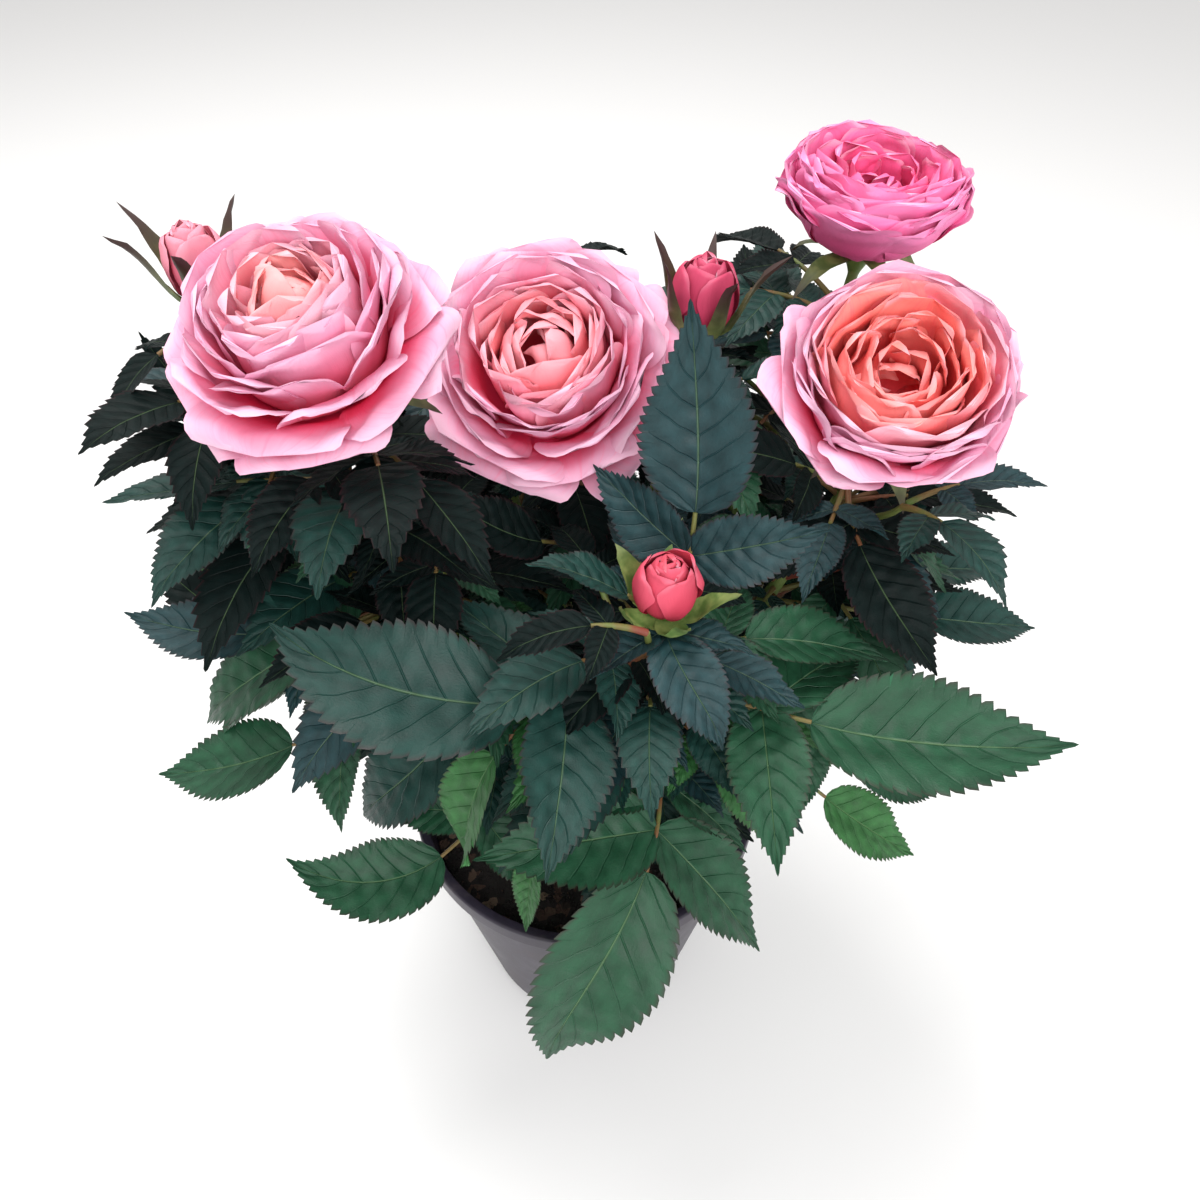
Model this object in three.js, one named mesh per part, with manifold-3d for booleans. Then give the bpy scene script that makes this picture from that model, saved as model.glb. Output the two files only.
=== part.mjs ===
// A potted rose bush with four open blooms and three buds, as an assembly of closed solids.
// Millimetres, +Z up, front towards -Y. The origin is at the middle of the pot's flat underside.
import * as THREE from "three";
import { mergeVertices } from "three/addons/utils/BufferGeometryUtils.js";
import Module from "manifold-3d";

const wasm = await Module();
wasm.setup();

// ---------------------------------------------------------------- driving sizes

const GAP = 0.3; // clear distance between solids that touch on the real plant
const SMALLEST_STEP = 0.2; // joined solids lose steps finer than this

const POT_HEIGHT = 90;
const POT_RIM_RADIUS = 52.5;
const POT_FOOT_RADIUS = 36;
const POT_WALL = 1.6;
const POT_FLOOR = 2;
const LIP_DEPTH = 6;
const LIP_WIDTH = 1.4;
const LIP_SLOPE = 1;
const RIM_CHAMFER = 0.6;
const ROUND_SIDES = 32;

const SOIL_LEVEL = 82;
const SOIL_DIP = 2; // the soil sinks by this much beside the wall
const SOIL_FLAT_RADIUS = 38;

const CANE_FOOT_RADIUS = 3;
const STEM_TOP_RADIUS = 1.3;
const ROOT_FLARE = 1.6; // extra radius at the flat cut on the soil
const FLARE_HEIGHT = 9;
const CANE_SIDES = 7;
const CANE_STEPS = 4;
const STEM_SIDES = 5;
const STEM_STEPS = 7;
const UPRIGHT_SHARE = 0.36; // of a shoot that is drawn straight up out of the soil
const NECK_SHARE = 0.28; // of a shoot that is drawn in line with its bloom
const STEM_TAPER = 1.25; // how much sooner than its top a shoot reaches its top radius

const STALK_RADIUS = 0.9; // leaf stalk where it leaves the stem
const STALK_TIP_RADIUS = 0.7;
const STALK_SINK = 0.6; // how far a stalk runs on into its end leaflet
const BLADE_THICKNESS = 1.1;
const BLADE_ROOT = 0.3; // half width of a leaflet where it is sunk in its stalk
const BLADE_ROOT_THICKNESS = 0.4;
const BLADE_HALF_WIDTH = 0.26; // of the leaflet's length
const BLADE_FOLD = 0.22; // how far the two halves rise from the midrib
const FACE_OUT = 0.45; // how far leaves lean out towards the light
const PAIR_ANGLE = 66; // degrees between a side leaflet and the stalk
const PAIR_DROOP = 26;
const LINE_STEPS = 24; // straight steps along the middle line of a leaf
// Share of the stalk where each pair sits, and its leaflets' share of the end leaflet's length.
const PAIRS = {
  1: [],
  3: [[0.7, 0.68]],
  5: [
    [0.72, 0.7],
    [0.34, 0.48],
  ],
};
// Share of a leaflet's length, and the share of its full width there.
const BLADE_STATIONS = [
  [0.32, 1],
  [0.7, 0.68],
];

// The growing rule: one leaf to each turn of the stem, with seeded differences about these sizes.
const LEAF_TURN = 144; // degrees from one leaf to the next round the stem
const TRIES = 8; // leaves to try at each place, each one shorter than the last
const TRY_TURN = 55; // degrees between one try and the next
const TURN_SPREAD = 30;
const SWING_SPREAD = 40;
const ROLL_SPREAD = 30;
const RISE = [15, 50];
const BEND = [40, 90];
const STALK_LENGTH = [34, 20]; // first and last try
const BLADE_LENGTH = [42, 28];
const LENGTH_SPREAD = [0.8, 1.2];
const FIVE_SHARE = 0.15; // share of these leaves that have five leaflets
const CROWN = { side: 112, depth: 92, middle: 20, top: 232 }; // where these leaves may reach
const CLEAR_OF_HEADS = 3;
const CLEAR_OF_SOIL = 5;
const SPACE_OVERLAP = 14; // how far a mass may reach past the middle between two shoots

// ---------------------------------------------------------------- the plant

// Each shoot: the foot of its cane on the soil, the top under its bloom or bud, the direction and
// tilt of that bloom from upright, and the share of the shoot that is a bare cane below its leaves.
// Leaves that stand out are set one by one:
// [place on the shoot, direction, swing, rise, bend, stalk, end leaflet, leaflets, roll].
const SHOOTS = {
  front: {
    foot: [18, -10],
    top: [18, -29, 196],
    toward: -90,
    tilt: 8,
    bare: 0.3,
    leaves: [
      [0.42, -76, -96, 10, 93, 38, 66, 5, -20],
      [0.76, -123, -100, 25, 20, 42, 56, 3, 0],
      [0.76, -35, 34, 3, -4, 37, 54, 3, 0],
      [0.85, 30, 120, 68, -14, 34, 44, 3, -100],
      [0.97, -96, 76, 29, 110, 8, 29, 3, 0],
      [0.93, 180, 8, 62, 50, 13, 24, 1, 0],
      [0.62, -173, 64, 40, 142, 46, 38, 3, 0],
      [0.4, -167, 80, 0, 70, 46, 22, 3, 0],
    ],
    byRule: { count: 6, low: 0.34, high: 0.9, first: 20, seed: 11, size: 0.7 },
  },
  left: {
    foot: [-20, 0],
    top: [-50.8, 5, 228.5],
    toward: 180,
    tilt: 10,
    bare: 0.26,
    leaves: [
      [0.8, 169, 20, 1, 12, 36, 33, 5, 0],
      [0.59, -146, -52, -10, -20, 44, 35, 3, 0],
      [0.575, -137, -54, 15, 76, 33, 46, 3, 0],
      [0.48, -149, -40, -36, -22, 58, 44, 3, 0],
      [0.405, -87, -130, -8, 58, 21, 46, 3, 0],
      [0.34, -64, -140, -50, -80, 52, 42, 3, 0],
    ],
    byRule: { count: 9, low: 0.3, high: 0.95, first: 100, seed: 23, size: 0.72 },
  },
  middle: {
    foot: [-6, 14],
    top: [-6, 36, 205],
    toward: -95,
    tilt: 30,
    bare: 0.3,
    leaves: [[0.64, -52, -150, 22, -22, 46, 30, 3, 0]],
    byRule: { count: 7, low: 0.34, high: 0.9, first: 90, seed: 37, size: 0.6 },
  },
  right: {
    foot: [24, 2],
    top: [67, 11, 214],
    toward: -90,
    tilt: 14,
    bare: 0.26,
    leaves: [
      [0.86, -110, 90, 5, 60, 22, 36, 3, 0],
      [0.66, 0, 10, -5, 10, 26, 33, 3, 0],
      [0.55, -20, 34, 10, 30, 40, 36, 3, 0],
      [0.42, -50, 60, -30, -10, 46, 33, 3, 0],
      [0.34, -62, 64, -8, 36, 46, 35, 3, 0],
    ],
    byRule: { count: 9, low: 0.3, high: 0.95, first: -20, seed: 41, size: 0.75 },
  },
  back: {
    foot: [14, 22],
    top: [69, 60, 232],
    toward: 0,
    tilt: 3,
    bare: 0.26,
    leaves: [],
    byRule: { count: 7, low: 0.3, high: 0.95, first: 60, seed: 53, size: 0.95 },
  },
  left_bud: {
    foot: [-26, 16],
    top: [-82, 28, 236],
    toward: 180,
    tilt: 5,
    bare: 0.26,
    leaves: [[0.62, 170, -20, 20, -40, 34, 30, 3, 0]],
    byRule: { count: 9, low: 0.3, high: 0.95, first: 130, seed: 67, size: 0.85 },
  },
  middle_bud: {
    foot: [2, 32],
    top: [28, 36, 224],
    toward: 0,
    tilt: 3,
    bare: 0.26,
    leaves: [],
    byRule: { count: 7, low: 0.3, high: 0.92, first: 80, seed: 71, size: 0.65 },
  },
  rear: {
    foot: [-8, 34],
    top: [-30, 66, 196],
    toward: 120,
    tilt: 20,
    bare: 0.26,
    leaves: [],
    byRule: { count: 8, low: 0.3, high: 1, first: 100, seed: 83, size: 0.95 },
  },
};

// Open blooms and buds, each on the top of a shoot.
// `skirt` is how far the oldest petals hang below the bloom's middle, as a share of its height.
const BLOOMS = {
  left: { radius: 27.6, height: 34, skirt: 0.2, turn: 10 },
  middle: { radius: 29.5, height: 35, skirt: 0.15, turn: 40 },
  right: { radius: 28, height: 34, skirt: 0.1, turn: 70 },
  back: { radius: 25.5, height: 24, skirt: 0.1, turn: 25 },
};
const BUDS = {
  front: { radius: 7.4, height: 18 },
  left_bud: { radius: 6.6, height: 19 },
  middle_bud: { radius: 7.6, height: 20 },
};

// Petal rings from the oldest inwards: petals to the ring, and the reach and height of their ends
// as shares of the bloom's radius and height.
const PETAL_RINGS = [
  { petals: 6, reach: 1, rise: 0.3 },
  { petals: 7, reach: 0.95, rise: 0.56 },
  { petals: 6, reach: 0.82, rise: 0.8 },
  { petals: 5, reach: 0.64, rise: 0.97 },
];
const PETAL_SEGMENTS = 3; // steps round the end of one petal
const PETAL_BULGE = 0.07; // how far a petal's middle stands out beyond its sides
const PETAL_LIFT = 0.06; // how far it rises above them
const RING_TURN = 25; // degrees between one ring of petals and the next
// Profile of one ring, as shares of its reach and rise: foot, belly, end and inside.
const RING_FOOT = 0.1;
const RING_BELLY = [0.62, 0.3];
const RING_INSIDE = [0.8, 0.08];

// Outlines of a bloom's heart and of a bud, as shares of their radius and height.
const HEART_SIDES = 12;
const HEART_OUTLINE = [
  [0, 0],
  [0.12, 0],
  [0.44, 0.6],
  [0.46, 0.9],
  [0.3, 0.86],
  [0, 0.74],
];
const BUD_SIDES = 8;
const BUD_OUTLINE = [
  [0, 0],
  [0.35, 0],
  [0.5, 0.1],
  [0.92, 0.3],
  [1, 0.5],
  [0.8, 0.8],
  [0.45, 1],
  [0, 1],
];
const SEPALS = 5;
const SEPAL_LENGTH = 0.76; // of the bud's height
const SEPAL_FOOT = 0.12;
const SEPAL_RISE = 0.71;

// ---------------------------------------------------------------- helpers

const radians = THREE.MathUtils.degToRad;
const lerp = THREE.MathUtils.lerp;
const UP = new THREE.Vector3(0, 0, 1);

// A solid from vertices and triangles.
function solid(vertices, triangles) {
  return new wasm.Manifold(
    new wasm.Mesh({
      numProp: 3,
      vertProperties: new Float32Array(vertices.flatMap((v) => v.toArray())),
      triVerts: new Uint32Array(triangles.flat()),
    }),
  );
}

// A solid from a three.js geometry.
function solidOf(geometry) {
  geometry.deleteAttribute("normal");
  geometry.deleteAttribute("uv");
  const merged = mergeVertices(geometry, 1e-4);
  return new wasm.Manifold(
    new wasm.Mesh({
      numProp: 3,
      vertProperties: merged.attributes.position.array,
      triVerts: new Uint32Array(merged.index.array),
    }),
  );
}

// One body from overlapping solids.
function join(parts) {
  return wasm.Manifold.union(parts).simplify(SMALLEST_STEP);
}

function geometryOf(manifold) {
  const { numProp, vertProperties, triVerts } = manifold.getMesh();
  const geometry = new THREE.BufferGeometry();
  const corners = new Float32Array(triVerts.length * 3);
  triVerts.forEach((v, i) => {
    corners.set(vertProperties.subarray(v * numProp, v * numProp + 3), i * 3);
  });
  geometry.setAttribute("position", new THREE.BufferAttribute(corners, 3));
  geometry.computeVertexNormals();
  return geometry;
}

// Numbers between 0 and 1 that are the same on each run.
function seeded(seed) {
  let state = seed;
  return () => {
    state = (state * 16807) % 2147483647;
    return state / 2147483647;
  };
}

// A unit vector from a direction round the upright and a rise above level, both in degrees.
function heading(direction, rise) {
  const flat = Math.cos(radians(rise));
  return new THREE.Vector3(
    flat * Math.cos(radians(direction)),
    flat * Math.sin(radians(direction)),
    Math.sin(radians(rise)),
  );
}

// A closed skin over rings of equal numbers of points, with a flat cap at each end.
function skin(rings) {
  const sides = rings[0].length;
  const triangles = [];
  for (let k = 0; k + 1 < rings.length; k++)
    for (let i = 0; i < sides; i++) {
      const a = k * sides + i;
      const b = k * sides + ((i + 1) % sides);
      triangles.push([a, b, b + sides], [a, b + sides, a + sides]);
    }
  const last = (rings.length - 1) * sides;
  for (let i = 1; i + 1 < sides; i++)
    triangles.push([0, i + 1, i], [last, last + i, last + i + 1]);
  return solid(rings.flat(), triangles);
}

// A ring of points round a place, square to a direction.
function ringRound(place, along, radius, sides, hint = new THREE.Vector3(1, 0, 0)) {
  const across = hint.clone().addScaledVector(along, -hint.dot(along)).normalize();
  const other = along.clone().cross(across);
  return Array.from({ length: sides }, (_, i) => {
    const turn = (i / sides) * 2 * Math.PI;
    return place
      .clone()
      .addScaledVector(across, radius * Math.cos(turn))
      .addScaledVector(other, radius * Math.sin(turn));
  });
}

// ---------------------------------------------------------------- shoots

// The middle line of a shoot: upright out of the soil, in line with its bloom at the top.
function shootCurve({ foot, top, toward, tilt }) {
  const start = new THREE.Vector3(foot[0], foot[1], SOIL_LEVEL + GAP);
  const end = new THREE.Vector3(...top);
  const length = start.distanceTo(end);
  const axis = heading(toward, 90 - tilt);
  return new THREE.CubicBezierCurve3(
    start,
    start.clone().addScaledVector(UP, UPRIGHT_SHARE * length),
    end.clone().addScaledVector(axis, -NECK_SHARE * length),
    end,
  );
}

function stemRadius(share) {
  return lerp(CANE_FOOT_RADIUS, STEM_TOP_RADIUS, Math.min(1, share * STEM_TAPER));
}

// A tapering limb along a stretch of a shoot, flared and cut flat where it stands on the soil.
function limb(curve, from, to, sides, steps) {
  const rings = [];
  for (let k = 0; k <= steps; k++) {
    const share = lerp(from, to, k / steps);
    const place = curve.getPoint(share);
    const along = share === 0 ? UP.clone() : curve.getTangent(share);
    const above = place.z - SOIL_LEVEL - GAP;
    const flare = ROOT_FLARE * Math.max(0, 1 - above / FLARE_HEIGHT) ** 2;
    rings.push(ringRound(place, along, stemRadius(share) + flare, sides));
  }
  return skin(rings);
}

// ---------------------------------------------------------------- leaves

// The line of a compound leaf from its root on the stem to the tip of its end leaflet.
// It swings round the upright and bends down evenly along its length.
function leafLine(root, leaf) {
  const [, direction, swing, rise, bend, stalk, blade, , roll] = leaf;
  const length = stalk + blade;
  const places = [root.clone()];
  const headings = [heading(direction, rise)];
  for (let k = 1; k <= LINE_STEPS; k++) {
    const middle = (k - 0.5) / LINE_STEPS;
    const along = heading(direction + swing * middle, rise - bend * middle);
    places.push(places[k - 1].clone().addScaledVector(along, length / LINE_STEPS));
    headings.push(heading(direction + (swing * k) / LINE_STEPS, rise - (bend * k) / LINE_STEPS));
  }
  const light = heading(direction, 0).multiplyScalar(FACE_OUT).add(UP);
  return (share) => {
    const k = Math.min(LINE_STEPS - 1, Math.floor(share * LINE_STEPS));
    const along = headings[k].clone().lerp(headings[k + 1], share * LINE_STEPS - k).normalize();
    const face = light.clone().addScaledVector(along, -light.dot(along)).normalize();
    face.applyAxisAngle(along, radians(roll));
    return { place: places[k].clone().lerp(places[k + 1], share * LINE_STEPS - k), along, face };
  };
}

// One leaflet: a thin lens, folded along its midrib, over stations from root to tip.
function blade(length, stationAt) {
  const rings = [];
  const station = (share, halfWidth, thickness) => {
    const { place, along, face } = stationAt(share);
    const side = face.clone().cross(along);
    const lift = BLADE_FOLD * halfWidth;
    return [
      place.clone().addScaledVector(side, halfWidth).addScaledVector(face, lift),
      place.clone().addScaledVector(face, thickness / 2),
      place.clone().addScaledVector(side, -halfWidth).addScaledVector(face, lift),
      place.clone().addScaledVector(face, -thickness / 2),
    ];
  };
  rings.push(station(0, BLADE_ROOT, BLADE_ROOT_THICKNESS));
  for (const [share, width] of BLADE_STATIONS)
    rings.push(station(share, BLADE_HALF_WIDTH * length * width, BLADE_THICKNESS));
  const tip = stationAt(1).place;
  const vertices = rings.flat();
  const triangles = [
    [0, 2, 1],
    [0, 3, 2],
  ];
  for (let k = 0; k + 1 < rings.length; k++)
    for (let i = 0; i < 4; i++) {
      const a = 4 * k + i;
      const b = 4 * k + ((i + 1) % 4);
      triangles.push([a, b, b + 4], [a, b + 4, a + 4]);
    }
  const last = 4 * (rings.length - 1);
  for (let i = 0; i < 4; i++)
    triangles.push([last + i, last + ((i + 1) % 4), vertices.length]);
  vertices.push(tip);
  return solid(vertices, triangles);
}

// A side leaflet: it leaves the stalk at an angle and droops along its length.
function sideLeaflet(root, side, length) {
  const { place, along, face } = root;
  const start = along.clone().applyAxisAngle(face, radians(side * PAIR_ANGLE));
  const hinge = start.clone().cross(face).negate();
  const stationAt = (share) => {
    const middle = start.clone().applyAxisAngle(hinge, (radians(PAIR_DROOP) * share) / 2);
    const here = start.clone().applyAxisAngle(hinge, radians(PAIR_DROOP) * share);
    return {
      place: place.clone().addScaledVector(middle, length * share),
      along: here,
      face: hinge.clone().cross(here).negate(),
    };
  };
  return { stationAt, tip: stationAt(1).place };
}

// A compound leaf: a three-sided stalk, its pairs of leaflets and the end leaflet.
function compoundLeaf(root, leaf) {
  const [, , , , , stalk, end, leaflets] = leaf;
  const at = leafLine(root, leaf);
  const share = stalk / (stalk + end);
  const parts = [];
  const tips = [at(share).place, at((1 + share) / 2).place, at(1).place];
  const forks = PAIRS[leaflets].map(([place]) => place).reverse();
  const rings = [0, ...forks, 1 + STALK_SINK / stalk].map((place) => {
    const { place: middle, along, face } = at(place * share);
    const radius = lerp(STALK_RADIUS, STALK_TIP_RADIUS, place);
    return ringRound(middle, along, radius, 3, face);
  });
  parts.push(skin(rings));
  parts.push(blade(end, (s) => at(lerp(share, 1, s))));
  for (const [place, size] of PAIRS[leaflets])
    for (const side of [-1, 1]) {
      const { stationAt, tip } = sideLeaflet(at(place * share), side, size * end);
      parts.push(blade(size * end, stationAt));
      tips.push(tip);
    }
  return { parts, tips };
}

// Leaves that follow the growing rule along a stretch of a shoot. Each place has some leaves to
// try, and the first one with room grows there.
function leavesByRule({ count, low, high, first, seed, size }) {
  const random = seeded(seed);
  const between = ([from, to]) => lerp(from, to, random());
  const about = (spread) => spread * (random() - 0.5);
  return Array.from({ length: count }, (_, k) =>
    Array.from({ length: TRIES }, (_, attempt) => [
      lerp(low, high, (k + random()) / count),
      first + k * LEAF_TURN + attempt * TRY_TURN + about(TURN_SPREAD),
      about(SWING_SPREAD),
      between(RISE),
      between(BEND),
      size * lerp(...STALK_LENGTH, attempt / TRIES) * between(LENGTH_SPREAD),
      size * lerp(...BLADE_LENGTH, attempt / TRIES) * between(LENGTH_SPREAD),
      random() < FIVE_SHARE ? 5 : 3,
      about(ROLL_SPREAD),
    ]),
  );
}

// ---------------------------------------------------------------- blooms and buds

// Stands a solid made round +Z at the top of its shoot.
function stand(made, shoot) {
  const axis = heading(shoot.toward, 90 - shoot.tilt);
  const base = new THREE.Vector3(...shoot.top).addScaledVector(axis, GAP);
  const turn = new THREE.Quaternion().setFromUnitVectors(UP, axis);
  const matrix = new THREE.Matrix4().compose(base, turn, new THREE.Vector3(1, 1, 1));
  return made.transform(matrix.elements);
}

// One ring of petals as a filled bowl with a scalloped end.
function petalRing({ radius, height, skirt, turn }, { petals, reach, rise }, r) {
  const hang = r === 0 ? skirt : 0;
  const levels = [
    [RING_FOOT, 0],
    [RING_BELLY[0] * reach, RING_BELLY[1] * rise - hang],
    [reach, rise - hang],
    [RING_INSIDE[0] * reach, rise - RING_INSIDE[1] - hang / 2],
  ];
  const sides = petals * PETAL_SEGMENTS;
  const rings = levels.map(([out, up], level) =>
    Array.from({ length: sides }, (_, i) => {
      const swell = Math.cos((petals * i * 2 * Math.PI) / sides);
      const around = radians(turn + RING_TURN * r + (360 * i) / sides);
      const rho = radius * out * (1 + (level > 0 ? PETAL_BULGE * swell : 0));
      const lift = level === 2 ? PETAL_LIFT * swell : 0;
      return new THREE.Vector3(
        rho * Math.cos(around),
        rho * Math.sin(around),
        height * (up + lift),
      );
    }),
  );
  return skin(rings);
}

// A solid of revolution from an outline in shares of a radius and a height.
function turned(outline, radius, height, sides) {
  const points = outline.map(([out, up]) => new THREE.Vector2(out * radius, up * height));
  return solidOf(new THREE.LatheGeometry(points, sides).rotateX(Math.PI / 2));
}

// An open bloom: rings of petals that stand inside each other round a folded heart.
function bloomSolid(bloom) {
  return join([
    turned(HEART_OUTLINE, bloom.radius, bloom.height, HEART_SIDES),
    ...PETAL_RINGS.map((ring, r) => petalRing(bloom, ring, r)),
  ]);
}

// A sepal hugs its bud and bends out past the bud's shoulder.
function sepal({ radius, height }, direction) {
  const out = heading(direction, 0);
  return blade(SEPAL_LENGTH * height, (share) => ({
    place: out
      .clone()
      .multiplyScalar(radius * (0.2 + 1.1 * Math.sin(share * 1.9)))
      .addScaledVector(UP, height * (SEPAL_FOOT + SEPAL_RISE * share)),
    along: heading(direction, 70),
    face: heading(direction, -20),
  }));
}

// A closed bud in its sepals.
function budSolid(bud) {
  const sepals = Array.from({ length: SEPALS }, (_, k) => sepal(bud, (360 * (k + 0.25)) / SEPALS));
  return join([turned(BUD_OUTLINE, bud.radius, bud.height, BUD_SIDES), ...sepals]);
}

// ---------------------------------------------------------------- pot and soil

function wallRadius(z) {
  return lerp(POT_FOOT_RADIUS, POT_RIM_RADIUS - LIP_WIDTH, z / POT_HEIGHT);
}

function pot() {
  const lipFoot = POT_HEIGHT - LIP_DEPTH;
  const outline = [
    [0, 0],
    [wallRadius(0), 0],
    [wallRadius(lipFoot - LIP_SLOPE), lipFoot - LIP_SLOPE],
    [POT_RIM_RADIUS, lipFoot],
    [POT_RIM_RADIUS, POT_HEIGHT - RIM_CHAMFER],
    [POT_RIM_RADIUS - RIM_CHAMFER, POT_HEIGHT],
    [wallRadius(POT_HEIGHT) - POT_WALL, POT_HEIGHT],
    [wallRadius(POT_FLOOR) - POT_WALL, POT_FLOOR],
    [0, POT_FLOOR],
  ];
  return turned(outline, 1, 1, ROUND_SIDES);
}

function soil() {
  const foot = POT_FLOOR + GAP;
  const edge = SOIL_LEVEL - SOIL_DIP;
  const inside = POT_WALL + GAP;
  const outline = [
    [0, foot],
    [wallRadius(foot) - inside, foot],
    [wallRadius(edge) - inside, edge],
    [SOIL_FLAT_RADIUS, SOIL_LEVEL],
    [0, SOIL_LEVEL],
  ];
  return turned(outline, 1, 1, ROUND_SIDES);
}

// ---------------------------------------------------------------- assembly

const COLOURS = {
  pot: [0x454049, 0.5],
  soil: [0x1d1513, 0.95],
  cane: [0x5a4630, 0.7],
  foliage: [0x2f5a48, 0.45],
  bloom: [0xf08cb0, 0.6],
  bud: [0xc43d62, 0.6],
};

const plant = new THREE.Group();
const placed = [];

function add(name, kind, made) {
  const [color, roughness] = COLOURS[kind];
  const material = new THREE.MeshStandardMaterial({ color, roughness, metalness: 0 });
  const mesh = new THREE.Mesh(geometryOf(made), material);
  mesh.name = name;
  plant.add(mesh);
  placed.push(made);
}

const curves = Object.fromEntries(
  Object.entries(SHOOTS).map(([name, shoot]) => [name, shootCurve(shoot)]),
);

// The middle of each bloom, which leaves by rule keep clear of.
const heads = Object.entries(BLOOMS).map(([name, { radius, height }]) => {
  const { top, toward, tilt } = SHOOTS[name];
  const middle = new THREE.Vector3(...top).addScaledVector(heading(toward, 90 - tilt), height / 2);
  return { middle, radius };
});

// How far a place is from a shoot.
function distanceTo(curve, place) {
  return Math.min(...curve.getPoints(20).map((point) => point.distanceTo(place)));
}

// Whether leaflet tips keep inside the crown, off the soil and the blooms, and nearer to their own
// shoot than to any other.
function inOwnSpace(name, tips) {
  return tips.every((tip) => {
    const limit = distanceTo(curves[name], tip) - SPACE_OVERLAP;
    return (
      (tip.x / CROWN.side) ** 2 + ((tip.y - CROWN.middle) / CROWN.depth) ** 2 < 1 &&
      tip.z > SOIL_LEVEL + CLEAR_OF_SOIL &&
      tip.z < CROWN.top &&
      heads.every(({ middle, radius }) => tip.distanceTo(middle) > radius + CLEAR_OF_HEADS) &&
      Object.values(curves).every((curve) => distanceTo(curve, tip) >= limit)
    );
  });
}

add("pot", "pot", pot());
add("soil", "soil", soil());
for (const [name, bloom] of Object.entries(BLOOMS))
  add(`bloom_${name}`, "bloom", stand(bloomSolid(bloom), SHOOTS[name]));
for (const [name, bud] of Object.entries(BUDS))
  add(`bud_${name}`, "bud", stand(budSolid(bud), SHOOTS[name]));
for (const [name, { bare }] of Object.entries(SHOOTS))
  add(`cane_${name}`, "cane", limb(curves[name], 0, bare, CANE_SIDES, CANE_STEPS));

// The stems of all masses stand first, then the leaves that stand out, then the leaves by rule.
const masses = {};
for (const [name, { bare }] of Object.entries(SHOOTS)) {
  const from = bare + GAP / curves[name].getLength();
  masses[name] = [limb(curves[name], from, 1, STEM_SIDES, STEM_STEPS)];
}

// Grows a leaf into its mass unless it would touch a limb, a bloom or another mass. A leaf by rule
// also keeps to its mass's own space and clear of its mass's other leaves.
function grow(name, leaf, byRule) {
  const { parts, tips } = compoundLeaf(curves[name].getPoint(leaf[0]), leaf);
  if (byRule && !inOwnSpace(name, tips)) return false;
  const made = wasm.Manifold.union(parts);
  const inTheWay = Object.entries(masses).flatMap(([other, grown]) => {
    if (other !== name) return grown;
    return byRule ? grown.slice(1) : [];
  });
  if ([...placed, ...inTheWay].some((other) => made.intersect(other).volume() > 0)) return false;
  masses[name].push(made);
  return true;
}

for (const [name, { leaves }] of Object.entries(SHOOTS))
  for (const leaf of leaves) grow(name, leaf, false);
for (const [name, { byRule }] of Object.entries(SHOOTS))
  for (const tries of leavesByRule(byRule)) tries.some((leaf) => grow(name, leaf, true));
for (const [name, grown] of Object.entries(masses)) add(`foliage_${name}`, "foliage", join(grown));

export default plant;
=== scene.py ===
"""A potted rose bush with open blooms, buds and serrated compound leaves.

The shoots and leaves follow the same growing rule as the solids. Plant sizes in this file are in
millimetres unless a name says otherwise, and meshes are made in metres.
"""

import math

import bmesh
import bpy
import numpy as np
from bpy.props import FloatProperty, FloatVectorProperty, IntProperty, PointerProperty
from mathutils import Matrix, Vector


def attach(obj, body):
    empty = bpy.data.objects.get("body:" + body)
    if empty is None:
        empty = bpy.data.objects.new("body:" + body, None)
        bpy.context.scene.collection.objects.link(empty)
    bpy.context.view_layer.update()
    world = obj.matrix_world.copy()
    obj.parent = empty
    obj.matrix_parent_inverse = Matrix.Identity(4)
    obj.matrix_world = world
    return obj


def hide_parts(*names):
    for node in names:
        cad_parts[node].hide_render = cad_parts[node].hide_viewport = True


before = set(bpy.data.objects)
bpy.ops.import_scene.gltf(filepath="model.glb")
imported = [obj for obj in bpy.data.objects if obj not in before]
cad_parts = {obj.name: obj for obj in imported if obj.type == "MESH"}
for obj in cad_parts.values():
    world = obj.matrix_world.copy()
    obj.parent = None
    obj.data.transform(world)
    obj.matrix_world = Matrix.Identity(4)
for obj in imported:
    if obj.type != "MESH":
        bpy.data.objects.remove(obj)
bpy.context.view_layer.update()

bl_info = {
    "name": "Potted Rose Bush",
    "version": (1, 0, 0),
    "blender": (4, 5, 0),
    "location": "3D View > Sidebar > Rose",
    "description": "Builds a small rose bush in its pot around the packed solids",
    "category": "Object",
}

MM = 0.001

# ---- the plant's layout

GAP = 0.3
SOIL_LEVEL = 82
CANE_FOOT_RADIUS = 3
STEM_TOP_RADIUS = 1.3
ROOT_FLARE = 1.6
FLARE_HEIGHT = 9
KNOT_HEIGHT = 0.35
KNOTS = 5.5
UPRIGHT_SHARE = 0.36
NECK_SHARE = 0.28
STEM_TAPER = 1.25
STALK_RADIUS = 0.85
STALK_TIP_RADIUS = 0.5
BLADE_HALF_WIDTH = 0.24
FACE_OUT = 0.45
PAIR_ANGLE = 66
PAIR_DROOP = 26
LINE_STEPS = 24
PAIRS = {1: [], 3: [(0.7, 0.68)], 5: [(0.72, 0.7), (0.34, 0.48)]}

LEAF_TURN = 144
PETAL_TURN = 137.5
TRIES = 8
TRY_TURN = 55
TURN_SPREAD = 30
SWING_SPREAD = 40
ROLL_SPREAD = 30
RISE = (15, 50)
BEND = (40, 90)
STALK_LENGTH = (34, 20)
BLADE_LENGTH = (42, 28)
LENGTH_SPREAD = (0.8, 1.2)
FIVE_SHARE = 0.15
CROWN = {"side": 112, "depth": 92, "middle": 20, "top": 232}
CLEAR_OF_HEADS = 3
CLEAR_OF_SOIL = 5

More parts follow.
